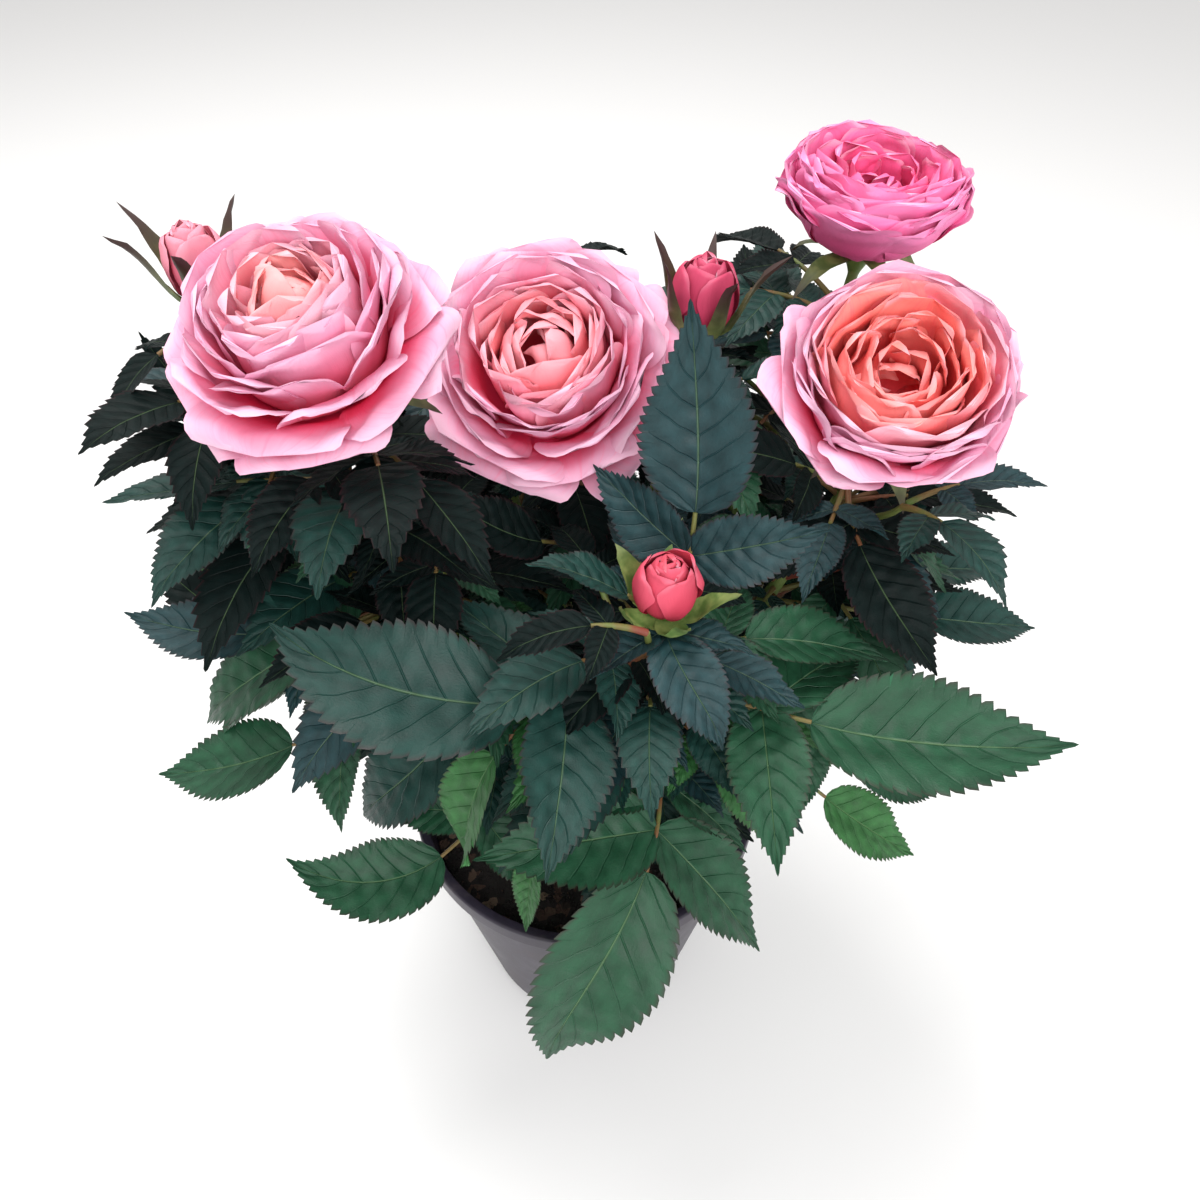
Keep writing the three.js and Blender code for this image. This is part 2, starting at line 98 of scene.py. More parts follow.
# Leaves that stand out are set one by one: place on the shoot, direction, swing, rise, bend,
# stalk, end leaflet, leaflets, roll, tint. more are leaves that only the scene has. The
# near-black tint on some of them is painted shade inside the crown.
SHOOTS = {
    "front": {
        "foot": (18, -10), "top": (18, -29, 196), "toward": -90, "tilt": 8,
        "rule": (6, 0.34, 0.9, 20, 11, 0.7),
        "leaves": [
            (0.42, -76, -96, 10, 93, 38, 66, 5, -20, "green"),
            (0.76, -123, -100, 25, 20, 42, 56, 3, 0, "deep"),
            (0.76, -35, 34, 3, -4, 37, 54, 3, 0, "green"),
            (0.85, 30, 120, 68, -14, 34, 44, 3, -100, "slate"),
            (0.97, -96, 76, 29, 110, 8, 29, 3, 0, "slate"),
            (0.93, 180, 8, 62, 50, 13, 24, 1, 0, "deep"),
            (0.62, -173, 64, 40, 142, 46, 38, 3, 0, "fresh"),
            (0.4, -167, 80, 0, 70, 46, 22, 3, 0, "fresh"),
        ],
    },
    "left": {
        "foot": (-20, 0), "top": (-50.8, 5, 228.5), "toward": 180, "tilt": 10,
        "rule": (9, 0.3, 0.95, 100, 23, 0.72),
        "leaves": [
            (0.8, 169, 20, 1, 12, 36, 33, 5, 0, "deep"),
            (0.59, -146, -52, -10, -20, 44, 35, 3, 0, "slate"),
            (0.575, -137, -54, 15, 76, 33, 46, 3, 0, "green"),
            (0.48, -149, -40, -36, -22, 58, 44, 3, 0, "green"),
            (0.405, -87, -130, -8, 58, 21, 46, 3, 0, "deep"),
            (0.34, -64, -140, -50, -80, 52, 42, 3, 0, "green"),
        ],
        "more": [
            (0.43, -160, -60, 0, -26, 55, 36, 1, 0, "dusk"),
            (0.46, 164, 48, -8, 34, 40, 47, 1, 0, "green"),
        ],
    },
    "middle": {
        "foot": (-6, 14), "top": (-6, 36, 205), "toward": -95, "tilt": 30,
        "rule": (7, 0.34, 0.9, 90, 37, 0.6),
        "leaves": [(0.64, -52, -150, 22, -22, 46, 30, 3, 0, "dusk")],
    },
    "right": {
        "foot": (24, 2), "top": (67, 11, 214), "toward": -90, "tilt": 14,
        "rule": (9, 0.3, 0.95, -20, 41, 0.75),
        "leaves": [
            (0.86, -110, 90, 5, 60, 22, 36, 3, 0, "dusk"),
            (0.66, 0, 10, -5, 10, 26, 33, 3, 0, "deep"),
            (0.55, -20, 34, 10, 30, 40, 36, 3, 0, "deep"),
            (0.42, -50, 60, -30, -10, 46, 33, 3, 0, "green"),
            (0.34, -62, 64, -8, 36, 46, 35, 3, 0, "fresh"),
        ],
    },
    "back": {
        "foot": (14, 22), "top": (69, 60, 232), "toward": 0, "tilt": 3,
        "rule": (7, 0.3, 0.95, 60, 53, 0.95),
        "leaves": [],
        "more": [(0.77, 120, -32, 20, 14, 21, 36, 1, 0, "dusk")],
    },
    "left_bud": {
        "foot": (-26, 16), "top": (-82, 28, 236), "toward": 180, "tilt": 5,
        "rule": (9, 0.3, 0.95, 130, 67, 0.85),
        "leaves": [(0.62, 170, -20, 20, -40, 34, 30, 3, 0, "dusk")],
    },
    "middle_bud": {
        "foot": (2, 32), "top": (28, 36, 224), "toward": 0, "tilt": 3,
        "rule": (7, 0.3, 0.92, 80, 71, 0.65),
        "leaves": [],
    },
    "rear": {
        "foot": (-8, 34), "top": (-30, 66, 196), "toward": 120, "tilt": 20,
        "rule": (8, 0.3, 1, 100, 83, 0.95),
        "leaves": [],
    },
}

# face is the way a bloom looks (toward, tilt) and lift its stalk above the stem. open hangs and
# rolls its old petals back, cup steepens them and sink lowers the heart. warm gives the ages
# between which the petals turn to the heart's colour.
BLOOMS = {
    "left": {
        "radius": 26, "height": 34, "face": (-110, 21), "lift": 2, "turn": 10, "seed": 5,
        "open": 0.6, "cup": 0.05, "sink": 0.04, "warm": (0.5, 1.0),
    },
    "middle": {
        "radius": 29, "height": 36, "face": (-98, 34), "lift": 3.5, "turn": 40, "seed": 8,
        "open": 0.6, "cup": 0.1, "sink": 0.06, "warm": (0.42, 0.85),
    },
    "right": {
        "radius": 25.2, "height": 33, "face": (-98, 27), "lift": 3, "turn": 70, "seed": 13,
        "open": 0.3, "cup": 0.6, "sink": 0.24, "warm": (0.3, 0.62),
    },
    "back": {
        "radius": 24.5, "height": 25, "face": (-70, 6), "lift": 1.5, "turn": 25, "seed": 21,
        "open": 0.0, "cup": 1.0, "sink": 0.16, "warm": (0.3, 0.9),
    },
}
HEAD_SIZES = {"left": (27.6, 34), "middle": (29.5, 35), "right": (28, 34), "back": (25.5, 24)}
BUDS = {
    "front": {"radius": 6.7, "height": 17, "seed": 3},
    "left_bud": {"radius": 6.6, "height": 19, "seed": 6},
    "middle_bud": {"radius": 7.6, "height": 20, "seed": 9},
}

# A tooth's steps: its share of the pitch, how far out it stands and how far ahead it points.
TOOTH_STEPS = ((0.0, -0.35, 0.0), (0.3, 0.45, 0.04), (0.66, 1.0, 0.36))
# The fifth tint is near black: painted shade for leaves deep in the crown.
LEAF_TINTS = ("deep", "green", "fresh", "lime", "dusk", "slate")
LEAF_CELLS = 3
FLOWER_CELLS = 8
# Where a blade's upper and lower skin lie on its map, and how far they reach on it.
UPPER_U, LOWER_U, REACH_U = 0.25, 0.75, 0.235
FOOT_V, REACH_V = 0.02, 0.96
LEAF_VEINS = 8
VEIN_SLANT = 0.2


def paint(code):
    """A colour from its usual six-figure code, in the scene's linear values."""
    parts = [((code >> shift) & 255) / 255 for shift in (16, 8, 0)]
    linear = [c / 12.92 if c <= 0.04045 else ((c + 0.055) / 1.055) ** 2.4 for c in parts]
    return (*linear, 1.0)


def scaled(tint, factor, extra=0):
    return (*(min(1, c * factor + extra) for c in tint[:3]), 1)


# ---- settings


def length(name, description, value):
    return FloatProperty(name=name, description=description, default=value * MM, unit="LENGTH")


def number(name, description, value, **limits):
    kind = IntProperty if isinstance(value, int) else FloatProperty
    return kind(name=name, description=description, default=value, **limits)


def colour(name, description, code):
    return FloatVectorProperty(
        name=name, description=description, default=paint(code), size=4, subtype="COLOR",
        min=0, max=1,
    )


class RosePotSettings(bpy.types.PropertyGroup):
    height: length("Height", "Height of the pot", 90)
    rim_radius: length("Rim radius", "Outside of the rim", 52.5)
    foot_radius: length("Foot radius", "Outside of the foot", 36)
    lip_depth: length("Lip depth", "Height of the band under the rim", 6)
    plastic: colour("Plastic", "Colour of the pot", 0x292331)
    earth: colour("Soil", "Colour of the moist soil", 0x1E1715)


class RoseLeafSettings(bpy.types.PropertyGroup):
    teeth: number("Teeth", "Teeth on each margin of a large leaflet", 21, min=4, max=40)
    tooth: number("Tooth depth", "Depth of a tooth as a share of the half width", 0.075)
    fold: number("Fold", "Rise of each half from the midrib", 0.2)
    wave: length("Wave", "Height of the waves along the margins", 1.6)
    thickness: length("Thickness", "Thickness of a leaflet", 0.45)
    more: number("Finer leaves", "Places tried for each leaf of the solids", 6.0, min=0)
    twigs: number("Twigs", "Side twigs tried on each stem", 5, min=0)
    deep: colour("Deep", "Older upper leaves", 0x183D37)
    green: colour("Green", "Common leaves", 0x204E35)
    fresh: colour("Fresh", "Low bright leaves", 0x366D3A)
    lime: colour("Lime", "A few young low leaves", 0x345D1B)
    # This near-black tint is painted shade for leaves deep in the crown; it has no purple flush.
    dusk: colour("Dusk", "Leaves flushed with purple", 0x0A1817)
    slate: colour("Slate", "Upper leaves with a blue bloom", 0x1E3D41)


class RoseFlowerSettings(bpy.types.PropertyGroup):
    petals: number("Petals", "Petals of one bloom", 56, min=12, max=80)
    wave: length("Wave", "Height of the waves along the rims", 2.8)
    thickness: length("Thickness", "Thickness of a petal", 0.4)
    rim: colour("Rim", "Outer petals at the rim", 0xE9B0CB)
    # The flush is the petals' own deeper pink lower down; its saturation is also painted light
    # shining through them in the recesses.
    flush: colour("Flush", "Outer petals lower down", 0xFF4A7E)
    heart: colour("Heart", "Inner petals", 0xFDAAA4)


class RoseStemSettings(bpy.types.PropertyGroup):
    relief: length("Bark relief", "Height of the bark's ridges", 0.35)
    sides: number("Sides", "Sides of a cane", 14, min=6)
    wood: colour("Wood", "Old wood near the soil", 0x5B4433)
    green: colour("Green", "Young stems", 0x5F7A3A)
    blush: colour("Blush", "Leaf stalks", 0x7A3A2C)


# ---- the growing rule


def seeded(seed):
    """Numbers between 0 and 1 that are the same on each run."""
    state = seed

    def draw():
        nonlocal state
        state = (state * 16807) % 2147483647
        return state / 2147483647

    return draw


def about(random, spread):
    return spread * (random() - 0.5)


def lerp(a, b, t):
    return a + (b - a) * t


def cubic(a, b, c, d, t):
    return a * (1 - t) ** 3 + 3 * b * t * (1 - t) ** 2 + 3 * c * t**2 * (1 - t) + d * t**3


def heading(direction, rise):
    """Unit vectors from directions round the upright and rises above level, in degrees."""
    d, r = np.radians(direction), np.radians(rise)
    return np.stack([np.cos(r) * np.cos(d), np.cos(r) * np.sin(d), np.sin(r) + 0 * d], axis=-1)


def unit(v):
    return v / np.linalg.norm(v, axis=-1, keepdims=True)


def turned(v, axis, degrees):
    """Vectors turned about unit axes."""
    a = np.radians(degrees)
    if np.ndim(a):
        a = a[:, None]
    dot = np.sum(v * axis, axis=-1, keepdims=True)
    return v * np.cos(a) + np.cross(axis, v) * np.sin(a) + axis * dot * (1 - np.cos(a))


UP = np.array([0.0, 0.0, 1.0])


def shoot_point(shoot, t):
    """Places on a shoot: upright at the soil, in line with its head on top."""
    start = np.array([*shoot["foot"], SOIL_LEVEL + GAP], float)
    end = np.array(shoot["top"], float)
    length = np.linalg.norm(end - start)
    axis = heading(shoot["toward"], 90 - shoot["tilt"])
    low = start + UP * UPRIGHT_SHARE * length
    return cubic(start, low, end - axis * NECK_SHARE * length, end, np.asarray(t, float)[..., None])


def leaf_line(root, leaf):
    """The line of a compound leaf: a function from shares of its length to places, directions
    and the way its upper side faces."""
    direction, swing, rise, bend, stalk, end, _, roll = leaf[1:9]
    step = (stalk + end) / LINE_STEPS
    middles = (np.arange(LINE_STEPS) + 0.5) / LINE_STEPS
    knots = np.arange(LINE_STEPS + 1) / LINE_STEPS
    hops = heading(direction + swing * middles, rise - bend * middles) * step
    places = np.vstack([root, root + np.cumsum(hops, axis=0)])
    ways = heading(direction + swing * knots, rise - bend * knots)
    light = heading(direction, 0) * FACE_OUT + UP

    def at(share):
        x = np.clip(np.atleast_1d(share) * LINE_STEPS, 0, LINE_STEPS)
        k = np.minimum(LINE_STEPS - 1, x.astype(int))
        f = (x - k)[:, None]
        along = unit(lerp(ways[k], ways[k + 1], f))
        face = unit(light - along * (along @ light)[:, None])
        return lerp(places[k], places[k + 1], f), along, turned(face, along, roll)

    return at


def side_leaflet(root, side, length, shares):
    """A side leaflet's places and faces, from the stalk's place, direction and face there."""
    place, along, face = (v[0] for v in root)
    start = turned(along, face, side * PAIR_ANGLE)
    spread = np.repeat(start[None], len(shares), 0)
    hinges = np.repeat(-np.cross(start, face)[None], len(shares), 0)
    middle = turned(spread, hinges, PAIR_DROOP * shares / 2)
    here = turned(spread, hinges, PAIR_DROOP * shares)
    return place + middle * (length * shares)[:, None], -np.cross(hinges, here)


def compound_leaf(root, leaf):
    """A compound leaf: its stalk's places and one (places, faces, length) for each leaflet."""
    stalk, end, leaflets = leaf[5:8]
    at = leaf_line(root, leaf)
    share = stalk / (stalk + end)
    shares = np.linspace(0, 1, 13)
    places, _, faces = at(lerp(share, 1, shares))
    blades = [(places, faces, end)]
    for place, size in PAIRS[leaflets]:
        for side in (-1, 1):
            line = side_leaflet(at(place * share), side, size * end, shares)
            blades.append((*line, size * end))
    return at(np.linspace(0, share, 9))[0], blades


def leaves_by_rule(count, low, high, first, seed, size):
    """For each place on a stem, the leaves to try there."""
    random = seeded(seed)

    def between(limits):
        return lerp(*limits, random())

    return [
        [
            (
                lerp(low, high, (k + random()) / count),
                first + k * LEAF_TURN + attempt * TRY_TURN + about(random, TURN_SPREAD),
                about(random, SWING_SPREAD),
                between(RISE),
                between(BEND),
                size * lerp(*STALK_LENGTH, attempt / TRIES) * between(LENGTH_SPREAD),
                size * lerp(*BLADE_LENGTH, attempt / TRIES) * between(LENGTH_SPREAD),
                5 if random() < FIVE_SHARE else 3,
                about(random, ROLL_SPREAD),
            )
            for attempt in range(TRIES)
        ]
        for k in range(count)
    ]


def head_middle(name):
    shoot = SHOOTS[name]
    axis = heading(shoot["toward"], 90 - shoot["tilt"])
    return np.array(shoot["top"], float) + axis * HEAD_SIZES[name][1] / 2


SHOOT_POINTS = {name: shoot_point(shoot, np.linspace(0, 1, 21)) for name, shoot in SHOOTS.items()}


def in_own_space(name, tips, overlap):
    """Whether leaflet tips keep inside the crown, off the soil and the blooms, and nearer to
    their own shoot than to any other."""
    for tip in tips:
        wide, deep = tip[0] / CROWN["side"], (tip[1] - CROWN["middle"]) / CROWN["depth"]
        if wide**2 + deep**2 >= 1:
            return False
        if not SOIL_LEVEL + CLEAR_OF_SOIL < tip[2] < CROWN["top"]:
            return False
        for head, (radius, _) in HEAD_SIZES.items():
            if np.linalg.norm(tip - head_middle(head)) <= radius + CLEAR_OF_HEADS:
                return False
        away = {n: np.linalg.norm(p - tip, axis=1).min() for n, p in SHOOT_POINTS.items()}
        if min(away.values()) < away[name] - overlap:
            return False
    return True


# ---- node trees


def reckoning(operation, swapped=False):
    def method(self, *others):
        values = (*others, self) if swapped else (self, *others)
        return self.graph.math(operation, *values)

    return method


class Value:
    """A node's output. Reckoning with it adds math nodes to its tree."""

    def __init__(self, graph, socket):
        self.graph, self.socket = graph, socket

    __add__, __sub__, __rsub__ = map(reckoning, ("ADD", "SUBTRACT", "SUBTRACT"), (0, 0, 1))
    __mul__, __truediv__, __pow__ = map(reckoning, ("MULTIPLY", "DIVIDE", "POWER"))
    __abs__, __gt__ = map(reckoning, ("ABSOLUTE", "GREATER_THAN"))
    sine, cosine, fraction = map(reckoning, ("SINE", "COSINE", "FRACT"))
    floor, round, least, largest = map(reckoning, ("FLOOR", "ROUND", "MINIMUM", "MAXIMUM"))

    def smooth(self, low, high):
        """0 below low, 1 above high and smooth between; the other way round if high is lower."""
        inputs = {"Value": self, "From Min": low, "From Max": high}
        kind = "ShaderNodeMapRange"
        return self.graph.value(self.graph.add(kind, inputs, interpolation_type="SMOOTHSTEP"))


class Graph:
    """Adds nodes to a tree. An input takes a value, an output, a node or something plain."""

    def __init__(self, tree):
        self.tree = tree

    def put(self, socket, value):
        if isinstance(value, bpy.types.Node):
            value = value.outputs[0]
        value = getattr(value, "socket", value)
        if isinstance(value, bpy.types.NodeSocket):
            self.tree.links.new(value, socket)
        else:
            socket.default_value = value

    def add(self, kind, inputs=None, **settings):
        node = self.tree.nodes.new(kind)
        for name, value in settings.items():
            setattr(node, name, value)
        for name, value in (inputs or {}).items():
            self.put(node.inputs[name], value)
        return node

    def value(self, node, output=0):
        return Value(self, node.outputs[output])

    def math(self, operation, *values):
        return self.value(self.add("ShaderNodeMath", dict(enumerate(values)), operation=operation))

    def vector(self, operation, a, b=None):
        second = 3 if operation == "SCALE" else 1
        inputs = {0: a} if b is None else {0: a, second: b}
        node = self.add("ShaderNodeVectorMath", inputs, operation=operation)
        return self.value(node, "Value" if operation == "DOT_PRODUCT" else "Vector")

    def split(self, vector):
        node = self.add("ShaderNodeSeparateXYZ", {"Vector": vector})
        return [self.value(node, axis) for axis in range(3)]

    def combine(self, x, y, z):
        return self.add("ShaderNodeCombineXYZ", {"X": x, "Y": y, "Z": z})

    def noise(self, vector, scale, detail, roughness=0.5):
        inputs = {"Vector": vector, "Scale": scale, "Detail": detail, "Roughness": roughness}
        return self.value(self.add("ShaderNodeTexNoise", inputs), "Fac")


class Tree(Graph):
    """A geometry node tree with a geometry input, named inputs and a geometry output."""

    def __init__(self, name, **inputs):
        super().__init__(bpy.data.node_groups.new(name, "GeometryNodeTree"))
        for way in ("INPUT", "OUTPUT"):
            self.socket("Geometry", "Geometry", way)
        for label, kind in inputs.items():
            self.socket(label, kind, "INPUT")
        self.given = self.add("NodeGroupInput").outputs

    def socket(self, label, kind, way):
        kind = "NodeSocket" + kind
        self.tree.interface.new_socket(label, in_out=way, socket_type=kind)

    def named(self, name, data_type="FLOAT"):
        kind = "GeometryNodeInputNamedAttribute"
        return self.value(self.add(kind, {"Name": name}, data_type=data_type))

    def store(self, geometry, name, value, data_type="FLOAT", domain="POINT"):
        inputs = {"Geometry": geometry, "Name": name, "Value": value}
        kind = "GeometryNodeStoreNamedAttribute"
        return self.add(kind, inputs, data_type=data_type, domain=domain)

    def then(self, kind, geometry, **inputs):
        return self.add("GeometryNode" + kind, {"Geometry": geometry} | inputs)

    def finish(self, geometry, materials, choice=None):
        """Sets each material on the faces whose choice is its number, and ends the tree."""
        for k, material in enumerate(materials):
            inputs = {"Material": material}
            if len(materials) > 1:
                test = {"A": choice, "B": float(k), "Epsilon": 0.1}
                kind = "FunctionNodeCompare"
                inputs["Selection"] = self.add(kind, None, data_type="FLOAT", operation="EQUAL")
                for label, value in test.items():
                    self.put(inputs["Selection"].inputs[label], value)
            geometry = self.then("SetMaterial", geometry, **inputs)
        self.put(self.add("NodeGroupOutput").inputs[0], geometry)
        return self.tree


def blade_tree(name, materials, cells):
    """Lays one flat blade along each line: it turns with the line's face, cups about it, folds and
    waves. Each line carries face, form (half width, cup, phase) and facts (length, cell, heart)."""
    settings = ("Fold", "Wave", "Thickness", "Uneven", "Reflex")
    g = Tree(name, Blade="Object", **{label: "Float" for label in settings})
    fold, wave, thickness, uneven, reflex = (g.given[label] for label in settings)
    curve = g.add("GeometryNodeMeshToCurve", {"Mesh": g.given["Geometry"]})
    size = g.add("GeometryNodeAttributeDomainSize", {"Geometry": curve}, component="CURVE")
    count = {"Count": size.outputs["Spline Count"], "Offset": (0, 0, 0)}
    points = g.add("GeometryNodeMeshLine", count)
    shape = g.add("GeometryNodeObjectInfo", {"Object": g.given["Blade"]}).outputs["Geometry"]
    many = g.add("GeometryNodeInstanceOnPoints", {"Points": points, "Instance": shape})
    marked = g.store(many, "blade", g.add("GeometryNodeInputIndex"), "INT", "INSTANCE")
    blades = g.then("RealizeInstances", marked)

    across, along, rise = g.split(g.add("GeometryNodeInputPosition"))
    blade = g.named("blade", "INT")
    nick = g.noise(g.combine(across, 0.0, blade * 3.7), 2.6, 2.0)
    reached = along * (1.0 - along**4.0 * (nick * uneven))

    def sampled(attribute):
        value = g.named(attribute, "FLOAT_VECTOR")
        inputs = {"Curves": curve, "Value": value, "Factor": reached, "Curve Index": blade}
        kind = "GeometryNodeSampleCurve"
        return g.add(kind, inputs, mode="FACTOR", data_type="FLOAT_VECTOR").outputs

    line = sampled("face")
    half, cup, phase = g.split(sampled("form")["Value"])
    length, cell, heart = g.split(sampled("facts")["Value"])
    tangent = line["Tangent"]
    lean = g.vector("SCALE", tangent, g.vector("DOT_PRODUCT", line["Value"], tangent))
    face = g.vector("NORMALIZE", g.vector("SUBTRACT", line["Value"], lean))
    side = g.vector("CROSS_PRODUCT", tangent, face)

    arc = across * half * cup
    curl = (1.0 - arc.cosine()) / cup
    out = abs(across)
    margin = (out - 0.55).largest(0.0) ** 2.0 * half * reflex
    folded = out * half * fold - margin * along
    sway = g.noise(g.combine(across * 1.3, along * 2.6, phase), 1.0, 1.0) - 0.5
    waved = sway * wave * (out + along * along)
    lift = curl + folded + waved * 2.0 + rise * length - g.named("under") * thickness
    moved = g.vector("ADD", line["Position"], g.vector("SCALE", side, arc.sine() / cup))
    moved = g.vector("ADD", moved, g.vector("SCALE", face, lift))

    # The sampled values are kept before the points move off their template.
    for label, value in (("heart", heart), ("cell", cell)):
        blades = g.store(blades, label, value)
    blades = g.then("SetPosition", blades, Position=moved)
    row = ((g.named("cell") + 0.1) / float(cells)).floor()
    column = g.named("cell") - row * float(cells)
    corner = g.combine(column.round(), row, 0.0)
    spot = g.vector("ADD", g.named("OFBake", "FLOAT_VECTOR"), corner)
    blades = g.store(blades, "OFBake", g.vector("SCALE", spot, 1 / cells), "FLOAT2", "CORNER")
    return g.finish(blades, materials, g.named("cell"))


def limb_tree(name, material):
    """Turns lines into tapering limbs with ridged bark. Each line carries radius, age and blush."""
    g = Tree(name, Sides="Int", Relief="Float")
    curve = g.add("GeometryNodeMeshToCurve", {"Mesh": g.given["Geometry"]})
    circle = {"Resolution": g.given["Sides"], "Radius": 1.0}
    ring = g.add("GeometryNodeCurvePrimitiveCircle", circle)
    inputs = {"Curve": curve, "Profile Curve": ring, "Scale": g.named("radius"), "Fill Caps": True}
    skin = g.add("GeometryNodeCurveToMesh", inputs)
    spot = g.vector("MULTIPLY", g.add("GeometryNodeInputPosition"), (900, 900, 160))
    ridge = g.noise(spot, 1.0, 3.0) - 0.5
    height = ridge * g.given["Relief"] * (g.named("radius") / (3 * MM)).least(1.0)
    offset = g.vector("SCALE", g.add("GeometryNodeInputNormal"), height)
    skin = g.then("SetPosition", skin, Offset=offset)
    return g.finish(g.then("RealizeInstances", skin), [material])


def crumb_tree(name, material):
    """Scatters crumbs of bark and fibre over the upper faces and keeps the faces too."""
    g = Tree(name, Density="Float", Size="Float", Seed="Int")
    mesh, density, size, seed, _ = g.given
    up = g.split(g.add("GeometryNodeInputNormal"))[2]
    inputs = {"Mesh": mesh, "Selection": up > 0.5, "Density": density, "Seed": seed}
    spots = g.add("GeometryNodeDistributePointsOnFaces", inputs)

    def drawn(**limits):
        node = g.add("FunctionNodeRandomValue", data_type="FLOAT_VECTOR")
        for label, value in limits.items():
            g.put(node.inputs[label], value)
        return node

    turn = g.add("FunctionNodeEulerToRotation", {"Euler": drawn(Max=(6.3, 6.3, 6.3))})
    shape = drawn(Min=(0.35, 0.25, 0.2), Max=(2.2, 0.9, 0.8), Seed=seed)
    inputs = {
        "Points": spots,
        "Instance": g.add("GeometryNodeMeshIcoSphere", {"Radius": 1.0, "Subdivisions": 1}),
        "Rotation": turn,
        "Scale": g.vector("SCALE", shape, size),
    }
    joined = g.add("GeometryNodeJoinGeometry")
    for geometry in (g.add("GeometryNodeInstanceOnPoints", inputs), mesh):
        g.put(joined.inputs[0], geometry)
    return g.finish(g.then("RealizeInstances", joined), [material])


# ---- meshes


class Lines:
    """Lines gathered for a node tree, in millimetres, with values at their points."""

    def __init__(self):
        self.points, self.edges, self.values = [], [], {}

    def add(self, points, **values):
        """Adds a line, with values that hold for the whole of it or for each of its points."""
        start, count = len(self.points), len(points)
        self.points.extend(np.asarray(points) * MM)
        self.edges.extend((start + k, start + k + 1) for k in range(count - 1))
        for name, value in values.items():
            value = np.asarray(value, float)
            if not value.ndim or len(value) != count:
                value = np.broadcast_to(value, (count, *value.shape))
            self.values.setdefault(name, []).extend(value)

    def build(self, name):
        mesh = bpy.data.meshes.new(name)
        mesh.from_pydata([tuple(p) for p in self.points], self.edges, [])
        for label, values in self.values.items():
            values = np.asarray(values, np.float32)
            kind, field = ("FLOAT_VECTOR", "vector") if values.ndim == 2 else ("FLOAT", "value")
            mesh.attributes.new(label, kind, "POINT").data.foreach_set(field, values.ravel())
        return link(name, mesh)


def link(name, data):
    made = bpy.data.objects.new(name, data)
    bpy.context.scene.collection.objects.link(made)
    return made


def soften(mesh, degrees):
    mesh.shade_smooth()
    mesh.set_sharp_from_angle(angle=math.radians(degrees))


def grown(source, name, tree, settings):
    """A new object with the plain mesh that a node tree makes of the source, which is removed."""
    modifier = source.modifiers.new("tree", "NODES")
    modifier.node_group = tree
    for item in tree.interface.items_tree:
        if item.in_out == "INPUT" and item.name in settings:
            modifier[item.identifier] = settings[item.name]
    graph = bpy.context.evaluated_depsgraph_get()
    mesh = bpy.data.meshes.new_from_object(
        source.evaluated_get(graph), preserve_all_data_layers=True, depsgraph=graph
    )
    bpy.data.objects.remove(source)
    mesh.name = name
    soften(mesh, 60)
    return link(name, mesh)


def blade_shape(name, rows, columns, peak, base, end, teeth=0, tooth=0.0, quilt=0.0, gather=1.0):
    """A flat blade, one half width each side of its midrib and one length long, as a thin closed
    skin. It is widest at peak and blunter at its base and end with lower powers there. under is 1
    on its lower skin."""
    power = math.log(0.5) / math.log(peak)
    shares = (np.arange(rows) / max(1, rows)) ** (1 / gather)
    if teeth:
        pitch = 0.98 / teeth
        steps = TOOTH_STEPS if columns > 4 else TOOTH_STEPS[::2]
        shares = np.ravel([[(k + step[0]) * pitch for step in steps] for k in range(teeth)])
        rows = len(shares)
    across = np.linspace(-1, 1, columns + 1)
    bulge = np.sin(math.pi * np.clip(shares, 0.002, 1) ** power)
    width = bulge ** np.where(shares < peak, base, end)
    xs = width[:, None] * across
    ys = np.repeat(shares[:, None], columns + 1, 1)
    if teeth:
        grow = tooth * np.tile([step[1] for step in steps], teeth) * np.minimum(1, width * 1.8)
        ahead = pitch * np.tile([step[2] for step in steps], teeth)
        for edge, way in ((0, -1), (-1, 1)):
            xs[:, edge] += way * grow
            ys[:, edge] += ahead
    out = np.abs(across)
    beat = 2 * math.pi * LEAF_VEINS * (shares[:, None] - VEIN_SLANT * out)
    veins = np.cos(beat) * np.sin(math.pi * out**0.8)
    zs = quilt * (veins - 1.6 * (out < 0.01)) * np.minimum(1, width)[:, None]

    mesh = bmesh.new()
    level = mesh.verts.layers.float.new("under")
    top = [[mesh.verts.new(p) for p in zip(*line)] for line in zip(xs, ys, zs)]
    tip = mesh.verts.new((0, 1, 0))
    low = [list(line) for line in top]
    for line in low[1:]:
        for c in range(1, columns):
            line[c] = mesh.verts.new(line[c].co)
            line[c][level] = 1.0
    uv = mesh.loops.layers.uv.new("OFBake")
    for layer, start in ((top, UPPER_U), (low, LOWER_U)):
        for r in range(rows):
            for c in range(columns):
                if r + 1 < rows:
                    ring = [(r, c), (r, c + 1), (r + 1, c + 1), (r + 1, c)]
                    corners = [layer[i][j] for i, j in ring]
                    places = [(across[j], shares[i]) for i, j in ring]
                else:
                    corners = [layer[r][c], layer[r][c + 1], tip]
                    places = [(across[c], shares[r]), (across[c + 1], shares[r]), (0, 1)]
                if layer is low:
                    corners, places = corners[::-1], places[::-1]
                for loop, (u, v) in zip(mesh.faces.new(corners).loops, places):
                    loop[uv].uv = (start + REACH_U * u, FOOT_V + REACH_V * v)
    data = bpy.data.meshes.new(name)
    mesh.to_mesh(data)
    mesh.free()
    return link(name, data)


